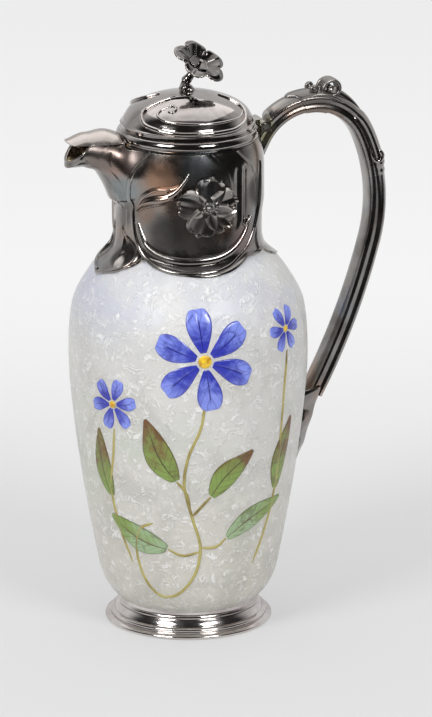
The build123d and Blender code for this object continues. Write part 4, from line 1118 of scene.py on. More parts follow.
def handle_section():
    """Closed section of the handle as (across, outward) points: domed back, grooved flanks."""
    half = [(0, 4.8), (1.4, 4.76), (2.6, 4.45), (3.7, 3.95), (4.5, 3.5), (5.0, 3.05), (5.6, 2.75), (6.05, 2.2),
            (6.15, 1.55), (5.95, 1.0), (5.6, 0.55), (5.45, 0.0), (5.5, -0.7), (5.8, -1.3), (6.1, -1.8),
            (6.15, -2.5), (5.9, -3.3), (5.4, -4.0), (4.6, -4.45), (3.4, -4.7), (1.8, -4.8), (0, -4.8)]
    return half + [(-x, z) for x, z in half[-2:0:-1]]


def handle_frame():
    """Centre, direction and outward side at close steps along the handle."""
    rows = []
    x, z = HANDLE_START
    slope = radians(HANDLE_SLOPE)
    for radius, angle, steps in HANDLE_ARCS:
        cx, cz = x + radius * sin(slope), z - radius * cos(slope)
        for k in range(steps):
            here = slope - radians(angle) * k / steps
            rows.append((cx - radius * sin(here), cz + radius * cos(here), here))
        slope -= radians(angle)
        x, z = cx - radius * sin(slope), cz + radius * cos(slope)
    rows.append((x, z, slope))
    return np.array(rows)


def at_handle(share, across, outward):
    """Points beside the handle: share of its length, across it and outwards from its centre."""
    rows = handle_frame()
    run = np.concatenate([[0], np.cumsum(np.hypot(np.diff(rows[:, 0]), np.diff(rows[:, 1])))])
    at = np.asarray(share) * run[-1]
    x = np.interp(at, run, rows[:, 0])
    z = np.interp(at, run, rows[:, 1])
    slope = np.interp(at, run, rows[:, 2])
    return np.stack([x - np.sin(slope) * outward, across + 0 * x, z + np.cos(slope) * outward], -1)


def beside_handle(share, outward, along, up, across):
    """Points in the handle's own plane, measured from a place over its first arc."""
    place = at_handle(np.full(1, share), 0.0, outward)[0]
    slope = radians(HANDLE_SLOPE) - share * HANDLE_TURN
    return np.stack([place[0] + along * cos(slope) - up * sin(slope), across,
                     place[2] + along * sin(slope) + up * cos(slope)], -1)


def make_handle():
    """Handle: its section spun round three centres, cut to the collar and the hinge's seat."""
    section = handle_section()
    clear_selection()
    bpy.ops.mesh.primitive_circle_add(vertices=len(section), radius=5 * MM, fill_type="NGON")
    piece = name_piece(bpy.context.object, "handle_bow")
    slope = radians(HANDLE_SLOPE)
    x, z = HANDLE_START
    root = Vector((cos(slope), 0, sin(slope))) * HANDLE_ROOT
    for vertex, (across, outward) in zip(piece.data.vertices, section):
        vertex.co = (Vector((x - sin(slope) * outward, across, z + cos(slope) * outward)) - root) * MM
    edit_whole(piece)
    bpy.ops.mesh.extrude_region_move(TRANSFORM_OT_translate={"value": tuple(root * MM)})
    for radius, angle, steps in HANDLE_ARCS:
        centre = (x + radius * sin(slope), z - radius * cos(slope))
        bpy.ops.mesh.spin(steps=steps, angle=radians(angle),
                          center=(centre[0] * MM, 0, centre[1] * MM), axis=(0, -1, 0))
        slope -= radians(angle)
        x, z = centre[0] - radius * sin(slope), centre[1] + radius * cos(slope)
    bpy.ops.mesh.select_all(action="SELECT")
    bpy.ops.mesh.bisect(plane_co=(HANDLE_CUT * MM, 0, 0), plane_no=(1, 0, 0), clear_inner=True, use_fill=True)
    settle(piece, 40.0)
    clear_selection()
    bpy.ops.mesh.primitive_cube_add(size=1, location=Vector(HINGE_SEAT) * MM)
    cutter = bpy.context.object
    cutter.scale = Vector(HINGE_SEAT_SIZE) * MM
    apply_place(cutter)
    apply_modifier(piece, "BOOLEAN", operation="DIFFERENCE", object=cutter, solver="EXACT")
    bpy.data.objects.remove(cutter)
    settle(piece, 40.0)
    finish_piece(piece, "jug", "mount_metal", "mount_metal", "handle_left", "handle_right")


def sleeve_piece(name, start, end, rows, swell, edge=None):
    """Sleeve round the handle between two shares of its length, swollen as swell says."""
    section = handle_section()
    count = len(section)
    closed = np.array(section + section[:1])

    def place(u, v):
        across, outward = (np.interp(u * count, np.arange(count + 1), closed[:, k]) for k in (0, 1))
        grow = 1 + swell(u, v) / np.hypot(across, outward)
        share = start + (end - start) * v
        if edge is not None:
            share = share + edge(u) * (1 - v)
        return at_handle(share, across * grow, outward * grow)

    piece = grid_piece(name, count * 2, rows, place)
    close_holes(piece)
    return settle(piece, 45.0)


SLEEVE_SINK = -0.5      # a sleeve's ends lie this far inside the handle


def sunk_ends(v, swell):
    """A sleeve's swell, with its two end rows drawn into the handle."""
    return np.where((v < 0.012) | (v > 0.988), SLEEVE_SINK, swell)


def make_sheath():
    """Flared sheath round the handle before the arch's top, with a pointed upper edge."""
    def swell(u, v):
        back = bell(np.minimum(u, 1 - u), 0.16)
        return sunk_ends(v, 0.4 + 0.65 * back * smooth_step(0.0, 0.10, v) + 0.12 * np.cos(u * 14 * pi) * v)

    def edge(u):
        return -0.022 * bell(np.minimum(u, 1 - u), 0.055) + 0.016 * np.sin(pi * u) ** 2

    piece = sleeve_piece("handle_calyx", 0.125, BUD_SHARE, 30, swell, edge)
    finish_piece(piece, "jug", "mount_metal", "mount_metal", "handle_sheath")


def make_handle_bud():
    """Curled fern bud on the arch: a thick coil behind, two small scrolls before it."""
    parts = []

    def roll(u, v):
        turn = radians(215) - v * 2.5 * pi
        share = 2 * (u - 0.5)
        reach = 5.4 * (1 - 0.66 * v) * (1 - 0.10 * share ** 4) + 0.22 * np.cos(u * 8 * pi) * (1 - v)
        return beside_handle(BUD_SHARE, BUD_LIFT, reach * np.cos(turn), reach * np.sin(turn),
                             share * 3.9 * (1 - 0.35 * v))

    leaf = grid_piece("bud_roll", 24, 90, roll)
    apply_modifier(leaf, "SOLIDIFY", thickness=1.1 * MM, offset=0.0)
    parts.append(settle(leaf, 60.0))
    line = np.linspace(0, 1, 60)
    for u in (0.0, 1.0):
        parts.append(tube_piece("bud_rim", roll(np.full(60, u), line), 0.95 - 0.35 * line, 14))
    hub = at_handle(np.full(1, BUD_SHARE), 0.0, BUD_LIFT)[0]
    heart = [hub + np.array((0, y, 0)) for y in (-2.2, 0.0, 2.2)]
    parts.append(tube_piece("bud_heart", heart, (1.1, 1.6, 1.1), 18))

    share = np.linspace(0, 1, 40)
    turn = radians(230) - share * 2.6 * pi
    reach = 1.75 * (1 - 0.72 * share)
    for side in (-3.3, 3.3):
        scroll = beside_handle(
            0.167, 6.1, reach * np.cos(turn), reach * np.sin(turn), side * (1 + 0.25 * share))
        parts.append(tube_piece("bud_scroll", scroll, 0.95 - 0.4 * share, 16))

    share = np.linspace(0, 1, 28)
    tail = at_handle(0.215 + 0.09 * share, 0.0, 5.1 - 0.9 * share)
    parts.append(tube_piece("bud_tail", tail, 2.6 * (1 - 0.88 * share), 18))
    neck = at_handle(BUD_SHARE - 0.055 * share, 0.0, 5.4 - 1.2 * share)
    parts.append(tube_piece("bud_neck", neck, 2.7 * (1 - 0.55 * share), 18))

    thick = 0.9 * np.sin(np.linspace(0.08, 0.95, 24) * pi) ** 0.6
    rise = 1.6 + 2.2 * np.sin(np.linspace(0.2, 0.9, 24) * pi)
    for side in (-1, 1):
        lap = at_handle(np.linspace(0.150, 0.236, 24), side * (5.2 + 0.5 * np.sin(share[:24] * 3)), rise)
        parts.append(tube_piece("bud_lap", lap, thick, 12))
    finish_piece(join_pieces(parts, "handle_fern_bud"), "jug", "mount_metal", "mount_metal", "handle_bud")


def make_knot():
    """Node on the handle's back, with the overlapping tip of a bract and its curled ends."""
    def swell(u, v):
        back = bell(np.minimum(u, 1 - u), 0.20, 4)
        return sunk_ends(v, 0.04 + (1.1 * bell(v - 0.34, 0.26) + 0.4 * bell(v - 0.80, 0.12)) * back)

    def bract_swell(u, v):
        side = np.minimum(u, 1 - u)
        height = 1.05 + 0.25 * v + 0.55 * bell(side - 0.27, 0.012)
        here = smooth_step(0.295, 0.275, side) * smooth_step(0.0, 0.25, v) * (v < 0.988)
        return SLEEVE_SINK + height * here

    parts = [sleeve_piece("handle_node", 0.397, 0.441, 34, swell),
             sleeve_piece("bract", 0.262, BRACT_END, 60, bract_swell)]
    line = smooth_line([(0.345, 1.0), (0.370, -0.4), (0.391, -0.8), (0.405, 0.7), (0.405, 2.7), (0.395, 3.9),
                        (0.384, 3.1), (0.386, 1.6), (0.393, 1.4)], 7)
    thick = np.interp(np.linspace(0, 1, len(line)), [0, 0.4, 0.75, 1], [0.35, 1.15, 1.25, 0.8])
    for side in (-1, 1):
        parts.append(tube_piece("bract_curl", at_handle(line[:, 0], side * 5.6, line[:, 1]), thick, 14))
    finish_piece(join_pieces(parts, "handle_node"), "jug", "mount_metal", "mount_metal", "handle_knot")


PAD_FOOT = 66.0
PAD_LENGTH = 41.5
PAD_EDGE = 1.3
PAD_SHARES = (0, 0.15, 0.35, 0.6, 0.85, 1.0)
PAD_SWELL = (1.9, 3.4, 5.4, 7.6, 10.6, 12.6)


def make_terminal():
    """Leaf-shaped pad on the glass, lobed and ribbed, that takes the handle's end."""
    def place(u, v):
        height = PAD_FOOT + PAD_LENGTH * v
        lobes = 1 + 0.10 * np.sin(v * 7 * pi) * smooth_step(0.95, 0.75, v)
        half = 11.4 * arch(v, 0.015, 0.80, 0.62) * lobes
        half = half * smooth_step(1.25, 0.8, v) + 6.4 * smooth_step(0.8, 1.0, v)
        share = 2 * (u - 0.5)
        y = share * half
        dome = 1 - np.abs(share) ** 2.6
        ribs = 0.45 * np.cos(share * 3.2 * pi + 2.2 * (1 - v) * np.sign(share)) * (1 - share ** 2)
        lift = PAD_EDGE + (np.interp(v, PAD_SHARES, PAD_SWELL) - PAD_EDGE) * dome + ribs
        lift = np.where(np.abs(share) > 0.985, 1.0, lift)
        return np.stack([np.sqrt(np.maximum(glass_radius(height) ** 2 - y ** 2, 0)) + lift, y, height], -1)

    piece = grid_piece("handle_leaf_pad", 44, 70, place)
    edit_whole(piece)
    bpy.ops.mesh.select_all(action="DESELECT")
    bpy.ops.mesh.select_non_manifold()
    bpy.ops.mesh.extrude_region_move(TRANSFORM_OT_translate={"value": (-2.6 * MM, 0, 0)})
    close_holes(piece)
    settle(piece, 45.0)
    finish_piece(piece, "jug", "mount_metal", "mount_metal", "handle_terminal")


def make_hinge():
    """The hinge keeps its own solids and gets the mount's finish and a steel pin."""
    finish_nodes("mount_metal", "hinge_knuckles", "lid_knuckle")
    finish_nodes("fixing_metal", "hinge_pin")


# Lid --------------------------------------------------------------------

LID_OUTLINE = [
    (30.0, 238.4), (31.35, 238.4), (31.6, 238.6), (31.5, 239.0), (31.1, 239.2), (31.0, 239.5), (31.1, 240.2),
    (31.45, 240.5), (31.5, 240.9), (31.2, 241.3), (30.7, 241.5), (30.5, 241.7), (30.3, 242.4), (30.0, 243.2),
    (29.55, 244.0), (29.2, 244.5), (28.6, 245.6), (27.6, 247.0), (26.2, 248.3), (24.0, 249.75), (21.0, 251.2),
    (17.5, 252.5), (13.5, 253.7), (9.0, 254.65), (4.5, 255.25), (AXIS_R, 255.4),
]


def lid_height(radius):
    """Height of the lid's outside at a radius."""
    outline = np.array(LID_OUTLINE[::-1])
    keep = outline[:, 1] > 241.4
    return np.interp(radius, outline[keep][:, 0], outline[keep][:, 1])


def make_lid():
    """Lid: broad rolled rim, stepped moulding, rounded shoulder and low dome."""
    # The lid's pieces take the lighter copy of the mount's silver, a painted light
    rim = [(27.0, 235.0), (32.9, 235.0), (33.2, 235.2), (33.3, 235.6), (33.25, 236.3), (32.9, 237.2),
           (32.4, 237.9), (31.9, 238.3), (31.6, 238.4), (27.0, 238.4), (27.0, 235.0)]
    ring = turned_piece("lid_rolled_rim", rim, FINE_STEPS, 40.0)
    finish_piece(ring, "lid", "mount_metal", "lid_metal_painted_light", "lid_rim")
    inner = [(r - 1.2 * (0.35 if z > 250 else 1), z - 1.1) for r, z in LID_OUTLINE[::-1] if z > 241 and r > 2]
    outline = LID_OUTLINE + [(AXIS_R, 254.2)] + inner + [(28.8, 240.0), (28.8, 238.4), (30.0, 238.4)]
    dome = turned_piece("lid_dome_shell", outline, FINE_STEPS, 40.0)
    finish_piece(dome, "lid", "mount_metal", "lid_metal_painted_light", "lid_dome")
    bezel = [(28.3, 235.0), (28.3, 231.2), (28.5, 231.0), (29.0, 231.0), (29.5, 231.5), (29.5, 235.0),
             (28.3, 235.0)]
    drop = turned_piece("lid_bezel_ring", bezel, 128, 35.0)
    finish_piece(drop, "lid", "mount_metal", "lid_metal_painted_light", "lid_bezel")


def on_lid(angle, radius, lift):
    """Points on the lid's dome at angles and radii."""
    return round_axis(angle, radius, lid_height(radius) + lift)


# Angles and radii of each line on the lid, its thickness in the middle and at its ends
LID_LINES = (
    ([(214, 10), (203, 16), (197, 22), (198, 26.6), (207, 29.3), (224, 30.2), (243, 30.5), (262, 30.5),
      (282, 30.5), (300, 30.3), (316, 29.2), (327, 26), (334, 20.5), (338, 14)], 1.15, 0.5),
    ([(224, 19), (217, 22.5), (217, 25.4), (224, 27.2), (236, 28.0), (262, 28.4), (288, 28.4), (310, 28.0),
      (324, 26.4)], 0.75, 0.25),
    ([(224, 19), (230, 18.4), (235, 20.6), (232, 23.0), (226.5, 22.6)], 0.7, 0.35),
    ([(206, 15.5), (216, 12.0), (232, 10.2), (252, 9.6), (268, 11.0)], 0.6, 0.15),
    ([(20, 27), (40, 29.4), (62, 30.3), (84, 30.5), (106, 30.4), (128, 29.4), (146, 26), (156, 20),
      (160, 13)], 1.1, 0.5),
)


def make_lid_stems():
    """Whiplash stems over the lid's shoulder, with curled ends."""
    parts = []
    for line, thick, end in LID_LINES:
        route = smooth_line(line, 10)
        radii = end + (thick - end) * arch(np.linspace(0, 1, len(route)), 0, 1, 0.6)
        parts.append(tube_piece("lid_line", on_lid(route[:, 0], route[:, 1], radii * 0.35), radii, 14))
    piece = join_pieces(parts, "lid_whiplash")
    # The lid's stems take the same lighter copy, a painted light
    finish_piece(piece, "lid", "mount_metal", "lid_metal_painted_light", "lid_stem")


# Finial -----------------------------------------------------------------

FLOWER_SEAT = np.array((4.0, 0.0, 265.9))
FLOWER_TILT = radians(36.0)
FLOWER_TURN = radians(-58.0)
PETAL_TURN = radians(62.0)
NEAR_PETAL = PETAL_TURN + radians(144.0)
STALK_FOOT = 255.0
STRANDS = 5
CUP_SHARES = (0, 0.12, 0.4, 0.8, 0.95, 1.0)
CUP_RADII = (0.3, 2.4, 3.0, 4.5, 4.7, 3.9)
CUP_RISES = (-1.4, -1.3, 0.2, 2.6, 3.3, 3.0)


def flower_frame():
    """Facing, sideways and upward directions of the finial's flower."""
    facing = np.array((
        sin(FLOWER_TILT) * cos(FLOWER_TURN), sin(FLOWER_TILT) * sin(FLOWER_TURN), cos(FLOWER_TILT)))
    across = np.cross((0, 0, 1.0), facing)
    across = across / np.linalg.norm(across)
    return facing, across, np.cross(facing, across)


def round_flower(turn, reach, rise):
    """Points round the flower's own axis: turn, reach from the axis and rise along it."""
    facing, across, up = flower_frame()
    return (FLOWER_SEAT + reach[:, None] * (np.cos(turn)[:, None] * across + np.sin(turn)[:, None] * up)
            + rise[:, None] * facing)


def stalk_pieces():
    """The finial's leaning core and the strands of bark that wind round it."""
    share = np.linspace(0, 1, 30)
    bow = 4 * share * (1 - share) ** 2
    middle = np.stack([FLOWER_SEAT[0] * share ** 2 - 2.2 * bow, 0.8 * bow,
                       STALK_FOOT + (FLOWER_SEAT[2] - STALK_FOOT) * share], -1)
    radii = 1.9 + 1.3 * bell(share - 0.06, 0.20) + 0.3 * np.sin(share * 15) * bell(share - 0.45, 0.3)
    pieces = [tube_piece("stalk_core", middle, radii, 24)]
    share, middle, radii = share[:24], middle[:24], radii[:24]      # the bark ends below the calyx
    for index in range(STRANDS):
        turn = 2 * pi * index / STRANDS + 2.2 * share
        strand = middle + np.stack([np.cos(turn), np.sin(turn), 0 * turn], -1) * (radii - 0.25)[:, None]
        thick = (0.75 + 0.45 * np.sin(share * 11 + index * 1.7)) * (1 - 0.4 * share)
        pieces.append(tube_piece("stalk_strand", strand, thick, 12))
    return pieces


def cup_place(u, v):
    """Placer for the five-sided calyx under the flower."""
    turn = 2 * pi * u
    radius = np.interp(v, CUP_SHARES, CUP_RADII) * (1 + 0.07 * np.cos(5 * turn))
    return round_flower(turn, radius, np.interp(v, CUP_SHARES, CUP_RISES))


def corolla_place(u, v):
    """Placer for the flower: five notched lobes with creases between them, the near one drooping."""
    turn = 2 * pi * u
    phase = turn - PETAL_TURN
    lobe = np.abs(np.cos(2.5 * phase)) ** 0.75
    near = bell(np.abs(np.mod(turn - NEAR_PETAL + pi, 2 * pi) - pi), 0.40)
    spread = smooth_step(0.3, 1.0, v)
    reach = (0.8 + 12.6 * v) * (1 - 0.33 * (1 - lobe) * spread) - 2.4 * near * spread
    rise = 0.4 + 5.2 * smooth_step(-0.2, 0.9, v) + 0.16 * np.cos(10 * phase) * spread * lobe
    rise = rise - 1.1 * smooth_step(0.78, 1.0, v) * lobe * (1 - near) - 2.4 * near * smooth_step(0.35, 0.9, v)
    crease = bell(np.cos(2.5 * phase), 0.14) * smooth_step(0.15, 0.5, v)
    rib = bell(np.sin(2.5 * phase), 0.10) * smooth_step(0.1, 0.35, v) * smooth_step(1.0, 0.8, v)
    return round_flower(turn, reach, rise - 0.9 * crease * spread + 0.45 * rib)


def make_finial():
    """Leaning stem with bark, a calyx, and an open five-lobed flower with ruffled petals."""
    # The finial's stalk, calyx and flower take a darker copy of the mount's silver, painted shade
    finish_piece(join_pieces(stalk_pieces(), "finial_stalk"), "lid", "mount_metal", "finial_metal_painted_shade", "finial_stem")
    calyx = grid_piece("finial_cup", 40, 24, cup_place)
    close_holes(calyx)
    settle(calyx, 50.0)
    finish_piece(calyx, "lid", "mount_metal", "finial_metal_painted_shade", "finial_calyx")

    flower = grid_piece("finial_blossom", 200, 40, corolla_place)
    wall = bpy.context.scene.carafe_sizes.petal_wall
    settle(flower, 60.0, 0.02)
    apply_modifier(flower, "SOLIDIFY", thickness=wall, offset=-1.0, use_quality_normals=True)
    bpy.ops.object.shade_smooth_by_angle(angle=radians(60))
    facing = flower_frame()[0]
    turns = np.linspace(0, 1, 201)
    rim = corolla_place(turns, np.full(len(turns), 0.985)) - 0.4 * facing
    roll = tube_piece("blossom_roll", rim, np.full(len(turns), 0.42), 12)
    throat = corolla_place(np.zeros(2), np.zeros(2))[0]
    middle = [throat + along * facing for along in (-0.3, 2.0, 3.8)]
    style = tube_piece("blossom_style", middle, (0.9, 0.7, 0.95), 14)
    flower = join_pieces([flower, roll, style], "finial_blossom")
    finish_piece(flower, "lid", "mount_metal", "finial_metal_painted_shade", "finial_flower")
    finish_nodes("fixing_metal", "finial_screw", "finial_nut", "finial_washer")


# Enamel on the glass ----------------------------------------------------

# Angle, height, reach and twist of each blossom
BLOSSOMS = (
    (258.0, 141.0, 24.0, 8.0), (211.0, 117.0, 13.0, -20.0), (305.0, 150.0, 11.0, 30.0),
    (70.0, 138.0, 22.0, 20.0), (128.0, 118.0, 14.0, 0.0), (20.0, 152.0, 11.0, 10.0),
)
# Finish, angle, height, turn, length and width of each leaf
LEAVES = (
    ("leaf_enamel", 244.0, 82.0, 118.0, 34.0, 15.0), ("leaf_enamel", 262.0, 74.0, 48.0, 30.0, 13.0),
    ("pale_leaf_enamel", 238.0, 47.0, 158.0, 33.0, 14.0), ("pale_leaf_enamel", 272.0, 52.0, 28.0, 36.0, 12.0),
    ("leaf_enamel", 205.0, 70.0, 100.0, 34.0, 12.0), ("leaf_enamel", 303.0, 72.0, 80.0, 36.0, 12.0),
    ("leaf_enamel", 60.0, 80.0, 118.0, 34.0, 15.0), ("pale_leaf_enamel", 82.0, 66.0, 40.0, 33.0, 13.0),
    ("pale_leaf_enamel", 112.0, 60.0, 130.0, 32.0, 13.0), ("leaf_enamel", 140.0, 72.0, 70.0, 32.0, 12.0),
)
# Angles and heights of each stalk
STALKS = (
    [(258, 120), (256, 108), (250, 94), (248, 80), (252, 64), (257, 48), (254, 34), (244, 24), (232, 22),
     (222, 30), (218, 44), (222, 56), (230, 60)],
    [(244, 82), (249, 76), (251, 68)], [(262, 74), (257, 69), (252, 64)], [(238, 47), (247, 44), (257, 46)],
    [(272, 52), (266, 48), (257, 48)], [(211, 105), (209, 92), (206, 80), (205, 70), (208, 54), (214, 38)],
    [(305, 140), (303, 122), (303, 104), (303, 72), (299, 52), (293, 36)],
    [(70, 117), (72, 100), (70, 84), (74, 66), (84, 48), (98, 34), (110, 27)], [(60, 80), (66, 74), (72, 70)],
    [(82, 66), (78, 60), (78, 56)], [(128, 105), (126, 90), (118, 72), (112, 60), (104, 44), (98, 34)],
    [(140, 72), (134, 56), (122, 40), (110, 27)],
    [(20, 142), (24, 120), (36, 96), (50, 70), (66, 56), (84, 48)],
)


PETALS = 6
BLOSSOM_R = 55.0      # radius of the glass behind the blossoms
ENAMEL_SINK = 0.18
STALK_SINK = -0.25
STALK_RADIUS = 0.75


def petal_half(reach):
    """Half width of a blossom's petal along its length."""
    return lambda v: reach * 0.30 * arch(v, 0.07, 0.88, 0.55) * (0.42 + 0.75 * v)


def leaf_half(width):
    """Half width of a leaf along its length."""
    return lambda v: width * 0.5 * arch(v, 0.05, 0.93, 0.85) * (1.15 - 0.45 * v)


def enamel_blade(name, angle, height, turn, length, half_width, wave):
    """One petal or leaf laid on the glass, its edge sunk and its face a little proud."""
    relief = bpy.context.scene.carafe_sizes.enamel_relief / MM

    def place(u, v):
        share = 2 * (u - 0.5)
        across = share * half_width(v) + wave * np.sin(v * pi * 1.3)
        along = length * v
        face = relief * (1 - np.abs(share) ** 5) ** 0.5 * np.minimum(1, np.minimum(v, 1 - v) * 14) ** 0.5
        lift = (ENAMEL_SINK + face) * (1 - 0.25 * bell(share, 0.12)) - ENAMEL_SINK
        lift = np.where((u < 0.01) | (u > 0.99) | (v < 0.01) | (v > 0.99), -ENAMEL_SINK, lift)
        side = along * cos(turn) - across * sin(turn)
        up = along * sin(turn) + across * cos(turn)
        z = height + up
        return on_glass(angle + np.degrees(side / glass_radius(z)), z, lift)

    piece = grid_piece(name, 22, 30, place)
    close_holes(piece)
    return settle(piece, 70.0, 0.001)


def blossom_petals(angle, height, reach, twist):
    """The petals of one blossom."""
    petals = []
    for index in range(PETALS):
        turn = radians(90 + twist + 360 * index / PETALS)
        start = 0.16 * reach
        foot = angle + np.degrees(start * cos(turn) / BLOSSOM_R)
        petals.append(enamel_blade("petal", foot, height + start * sin(turn), turn, reach * 0.84,
                                   petal_half(reach), 0.4 * sin(index * 2.1)))
    return petals


def blossom_heart(angle, height, reach):
    """The low round heart of one blossom."""
    clear_selection()
    bpy.ops.mesh.primitive_uv_sphere_add(segments=20, ring_count=12, radius=reach * 0.13 * MM)
    heart = bpy.context.object
    heart.scale = (1, 1, 0.28)
    outward = Vector((cos(radians(angle)), sin(radians(angle)), 0))
    heart.rotation_euler = outward.to_track_quat("Z", "Y").to_euler()
    heart.location = Vector(on_glass(np.array([angle]), np.array([height]), 0.25)[0]) * MM
    apply_place(heart)
    bpy.ops.object.shade_smooth()
    return heart


def enamel_stalk(line):
    """One stalk, half sunk in the glass and thinner at its ends."""
    route = smooth_line(line, 8)
    radii = np.full(len(route), STALK_RADIUS)
    radii[:4] = np.linspace(0.5, STALK_RADIUS, 4)
    radii[-4:] = np.linspace(STALK_RADIUS, 0.4, 4)
    return tube_piece("stalk", on_glass(route[:, 0], route[:, 1], STALK_SINK), radii, 10)


def make_enamel():
    """Generic spray in enamel: round blue blossoms, yellow hearts, leaves and stalks."""
    petals, hearts = [], []
    for angle, height, reach, twist in BLOSSOMS:
        petals += blossom_petals(angle, height, reach, twist)
        hearts.append(blossom_heart(angle, height, reach))
    leaves = {"leaf_enamel": [], "pale_leaf_enamel": []}
    for kind, angle, height, turn, length, width in LEAVES:
        leaves[kind].append(enamel_blade("leaf", angle, height, radians(turn), length, leaf_half(width), 1.6))
    stalks = [enamel_stalk(line) for line in STALKS]
    for parts, name, finish in (
            (petals, "enamel_petals", "blue_enamel"), (hearts, "enamel_hearts", "yellow_enamel"),
            (stalks, "enamel_stalks", "stem_enamel"), (leaves["leaf_enamel"], "enamel_leaves", "leaf_enamel"),
            (leaves["pale_leaf_enamel"], "enamel_pale_leaves", "pale_leaf_enamel")):
        finish_piece(join_pieces(parts, name), "jug", "frosted_glass", finish)


# Studio -----------------------------------------------------------------

FLOOR_SIZE = (7.0, 4.1, 1.0)
FLOOR_PLACE = (0.0, 1.6, 0.0)
FLOOR_NEAR = (0.645, 0.645, 0.65)
FLOOR_FAR = (1.0, 1.0, 1.0)
AWAY = (0.342, 0.940)      # direction on the floor away from the camera
AIM = Vector((0, 0, 0.13))
CAMERA_PLACE = (-0.8858, -2.4338, 0.897)
CAMERA_TARGET = Vector((0.0123, -0.0045, 0.1262))

# Name, azimuth, elevation, distance, width, height and power
LAMPS = (
    ("lamp_left", -60.0, 38.0, 1.7, 0.58, 0.46, 15.0), ("lamp_right", 16.0, 38.0, 1.7, 0.56, 0.32, 12.0),
    ("lamp_top", 160.0, 70.0, 1.6, 1.85, 1.85, 10.5),
)


def floor_finish(colour):
    """Pale floor that shows a plain backdrop to what looks at it and still keeps the shadow."""
    f = Finish("studio_floor")
    tone = f.mix(f.span(f.noise(3.0, 2.0), 0.3, 0.7), colour, [c * 0.985 for c in colour])
    f.set(Base_Color=tone, Roughness=0.85, Specular_IOR_Level=0.1)
    x, y, _ = f.split(f.place)
    depth = f.math("ADD", f.times(x, AWAY[0]), f.times(y, AWAY[1]))
    glow = f.node("ShaderNodeEmission", {
        "Color": f.mix(f.span(depth, 0.0, 0.62), FLOOR_NEAR, FLOOR_FAR), "Strength": 1.0})
    rays = f.node("ShaderNodeLightPath").outputs
    mirrored = f.math("ADD", rays["Is Glossy Ray"], rays["Is Transmission Ray"])
    seen = f.math("ADD", rays["Is Camera Ray"], mirrored, clamp=True)
    blend = f.node("ShaderNodeMixShader", {0: f.times(seen, 0.62), 1: f.shader.outputs[0], 2: glow.outputs[0]})
    f.feed(f.output.inputs[0], blend.outputs[0])
    return f.material


def make_floor():
    """Flat floor under the carafe and far behind it."""
    clear_selection()
    bpy.ops.mesh.primitive_plane_add(size=1, location=FLOOR_PLACE)
    floor = name_piece(bpy.context.object, "studio_floor")
    floor.scale = FLOOR_SIZE
    apply_place(floor)
    floor.data.materials.append(floor_finish(bpy.context.scene.carafe_colours.floor))


def make_camera():
    """Camera at the photograph's angle."""
    bpy.ops.object.camera_add(location=CAMERA_PLACE)
    camera = bpy.context.object
    camera.name = "camera"
    camera.rotation_mode = "QUATERNION"
    camera.rotation_quaternion = (CAMERA_TARGET - camera.location).to_track_quat("-Z", "Y")
    camera.data.lens = 289.6
    camera.data.sensor_width = 36.0
    camera.data.clip_start = 0.05
    camera.data.clip_end = 40.0
    bpy.context.scene.camera = camera


def make_lamps():
    """Soft lamps on both sides and above, all turned to the carafe's middle."""
    for name, azimuth, elevation, distance, width, height, power in LAMPS:
        a, e = radians(azimuth), radians(elevation)
        spot = Vector((sin(a) * cos(e), -cos(a) * cos(e), sin(e))) * distance + AIM
        clear_selection()
        bpy.ops.object.light_add(type="AREA", location=spot)
        lamp = bpy.context.object
        lamp.name = name
        lamp.data.shape = "RECTANGLE"
        lamp.data.size = width
        lamp.data.size_y = height
        lamp.data.energy = power
        lamp.rotation_mode = "QUATERNION"
        lamp.rotation_quaternion = (AIM - spot).to_track_quat("-Z", "Y")


def make_world():
    """Quiet world: pale behind and above in the metal's reflections, plain to the camera."""
    world = bpy.data.worlds.new("studio")
    bpy.context.scene.world = world
    world.use_nodes = True
    w = NodeTree(world.node_tree)
    x, y, z = w.split(w.node("ShaderNodeTexCoord").outputs["Generated"])
    rays = w.node("ShaderNodeLightPath").outputs
    behind = w.math("ADD", w.times(y, 0.94), w.times(x, 0.34))
    mirrored = w.math("MAXIMUM", w.span(behind, -0.05, 0.45, 0.03, 0.88), w.span(z, 0.80, 0.97, 0.0, 0.30))
    seen = w.math("MAXIMUM", rays["Is Camera Ray"], rays["Is Transmission Ray"])
    shine = w.times(w.times(rays["Is Glossy Ray"], mirrored), w.math("SUBTRACT", 1.0, seen))
    rest = w.math("SUBTRACT", 1.0, w.math("MAXIMUM", seen, rays["Is Glossy Ray"]))
    strength = w.math("ADD", w.math("ADD", w.times(seen, 0.90), shine), w.times(rest, 0.42))
    ground = w.node("ShaderNodeBackground", {"Strength": strength})
    w.node("ShaderNodeOutputWorld", {0: ground.outputs[0]})


def make_stage():
    """Plain pale floor, soft lamps, a quiet world and the camera at the photograph's angle."""
    make_floor()
    make_camera()
    make_lamps()
    make_world()
    bpy.context.scene.view_settings.view_transform = "Standard"


# Add-on -----------------------------------------------------------------

class CarafeGlass(bpy.types.Operator):
    """Builds the blown glass body"""

    bl_idname = "carafe.glass"
    bl_label = "Build Glass"

    def execute(self, context):
        make_glass()
        return {"FINISHED"}


class CarafeEnamel(bpy.types.Operator):
    """Lays the enamel spray on the glass"""

    bl_idname = "carafe.enamel"
    bl_label = "Build Enamel Spray"

    def execute(self, context):
        make_enamel()
        return {"FINISHED"}


class CarafePlaster(bpy.types.Operator):
    """Gives the plaster beds their finish"""

    bl_idname = "carafe.plaster"
    bl_label = "Finish Plaster Beds"

    def execute(self, context):
        make_plaster()
        return {"FINISHED"}


class CarafeFoot(bpy.types.Operator):
    """Builds the spun foot and its wire"""

    bl_idname = "carafe.foot"
    bl_label = "Build Foot"

    def execute(self, context):
        make_foot()
        return {"FINISHED"}


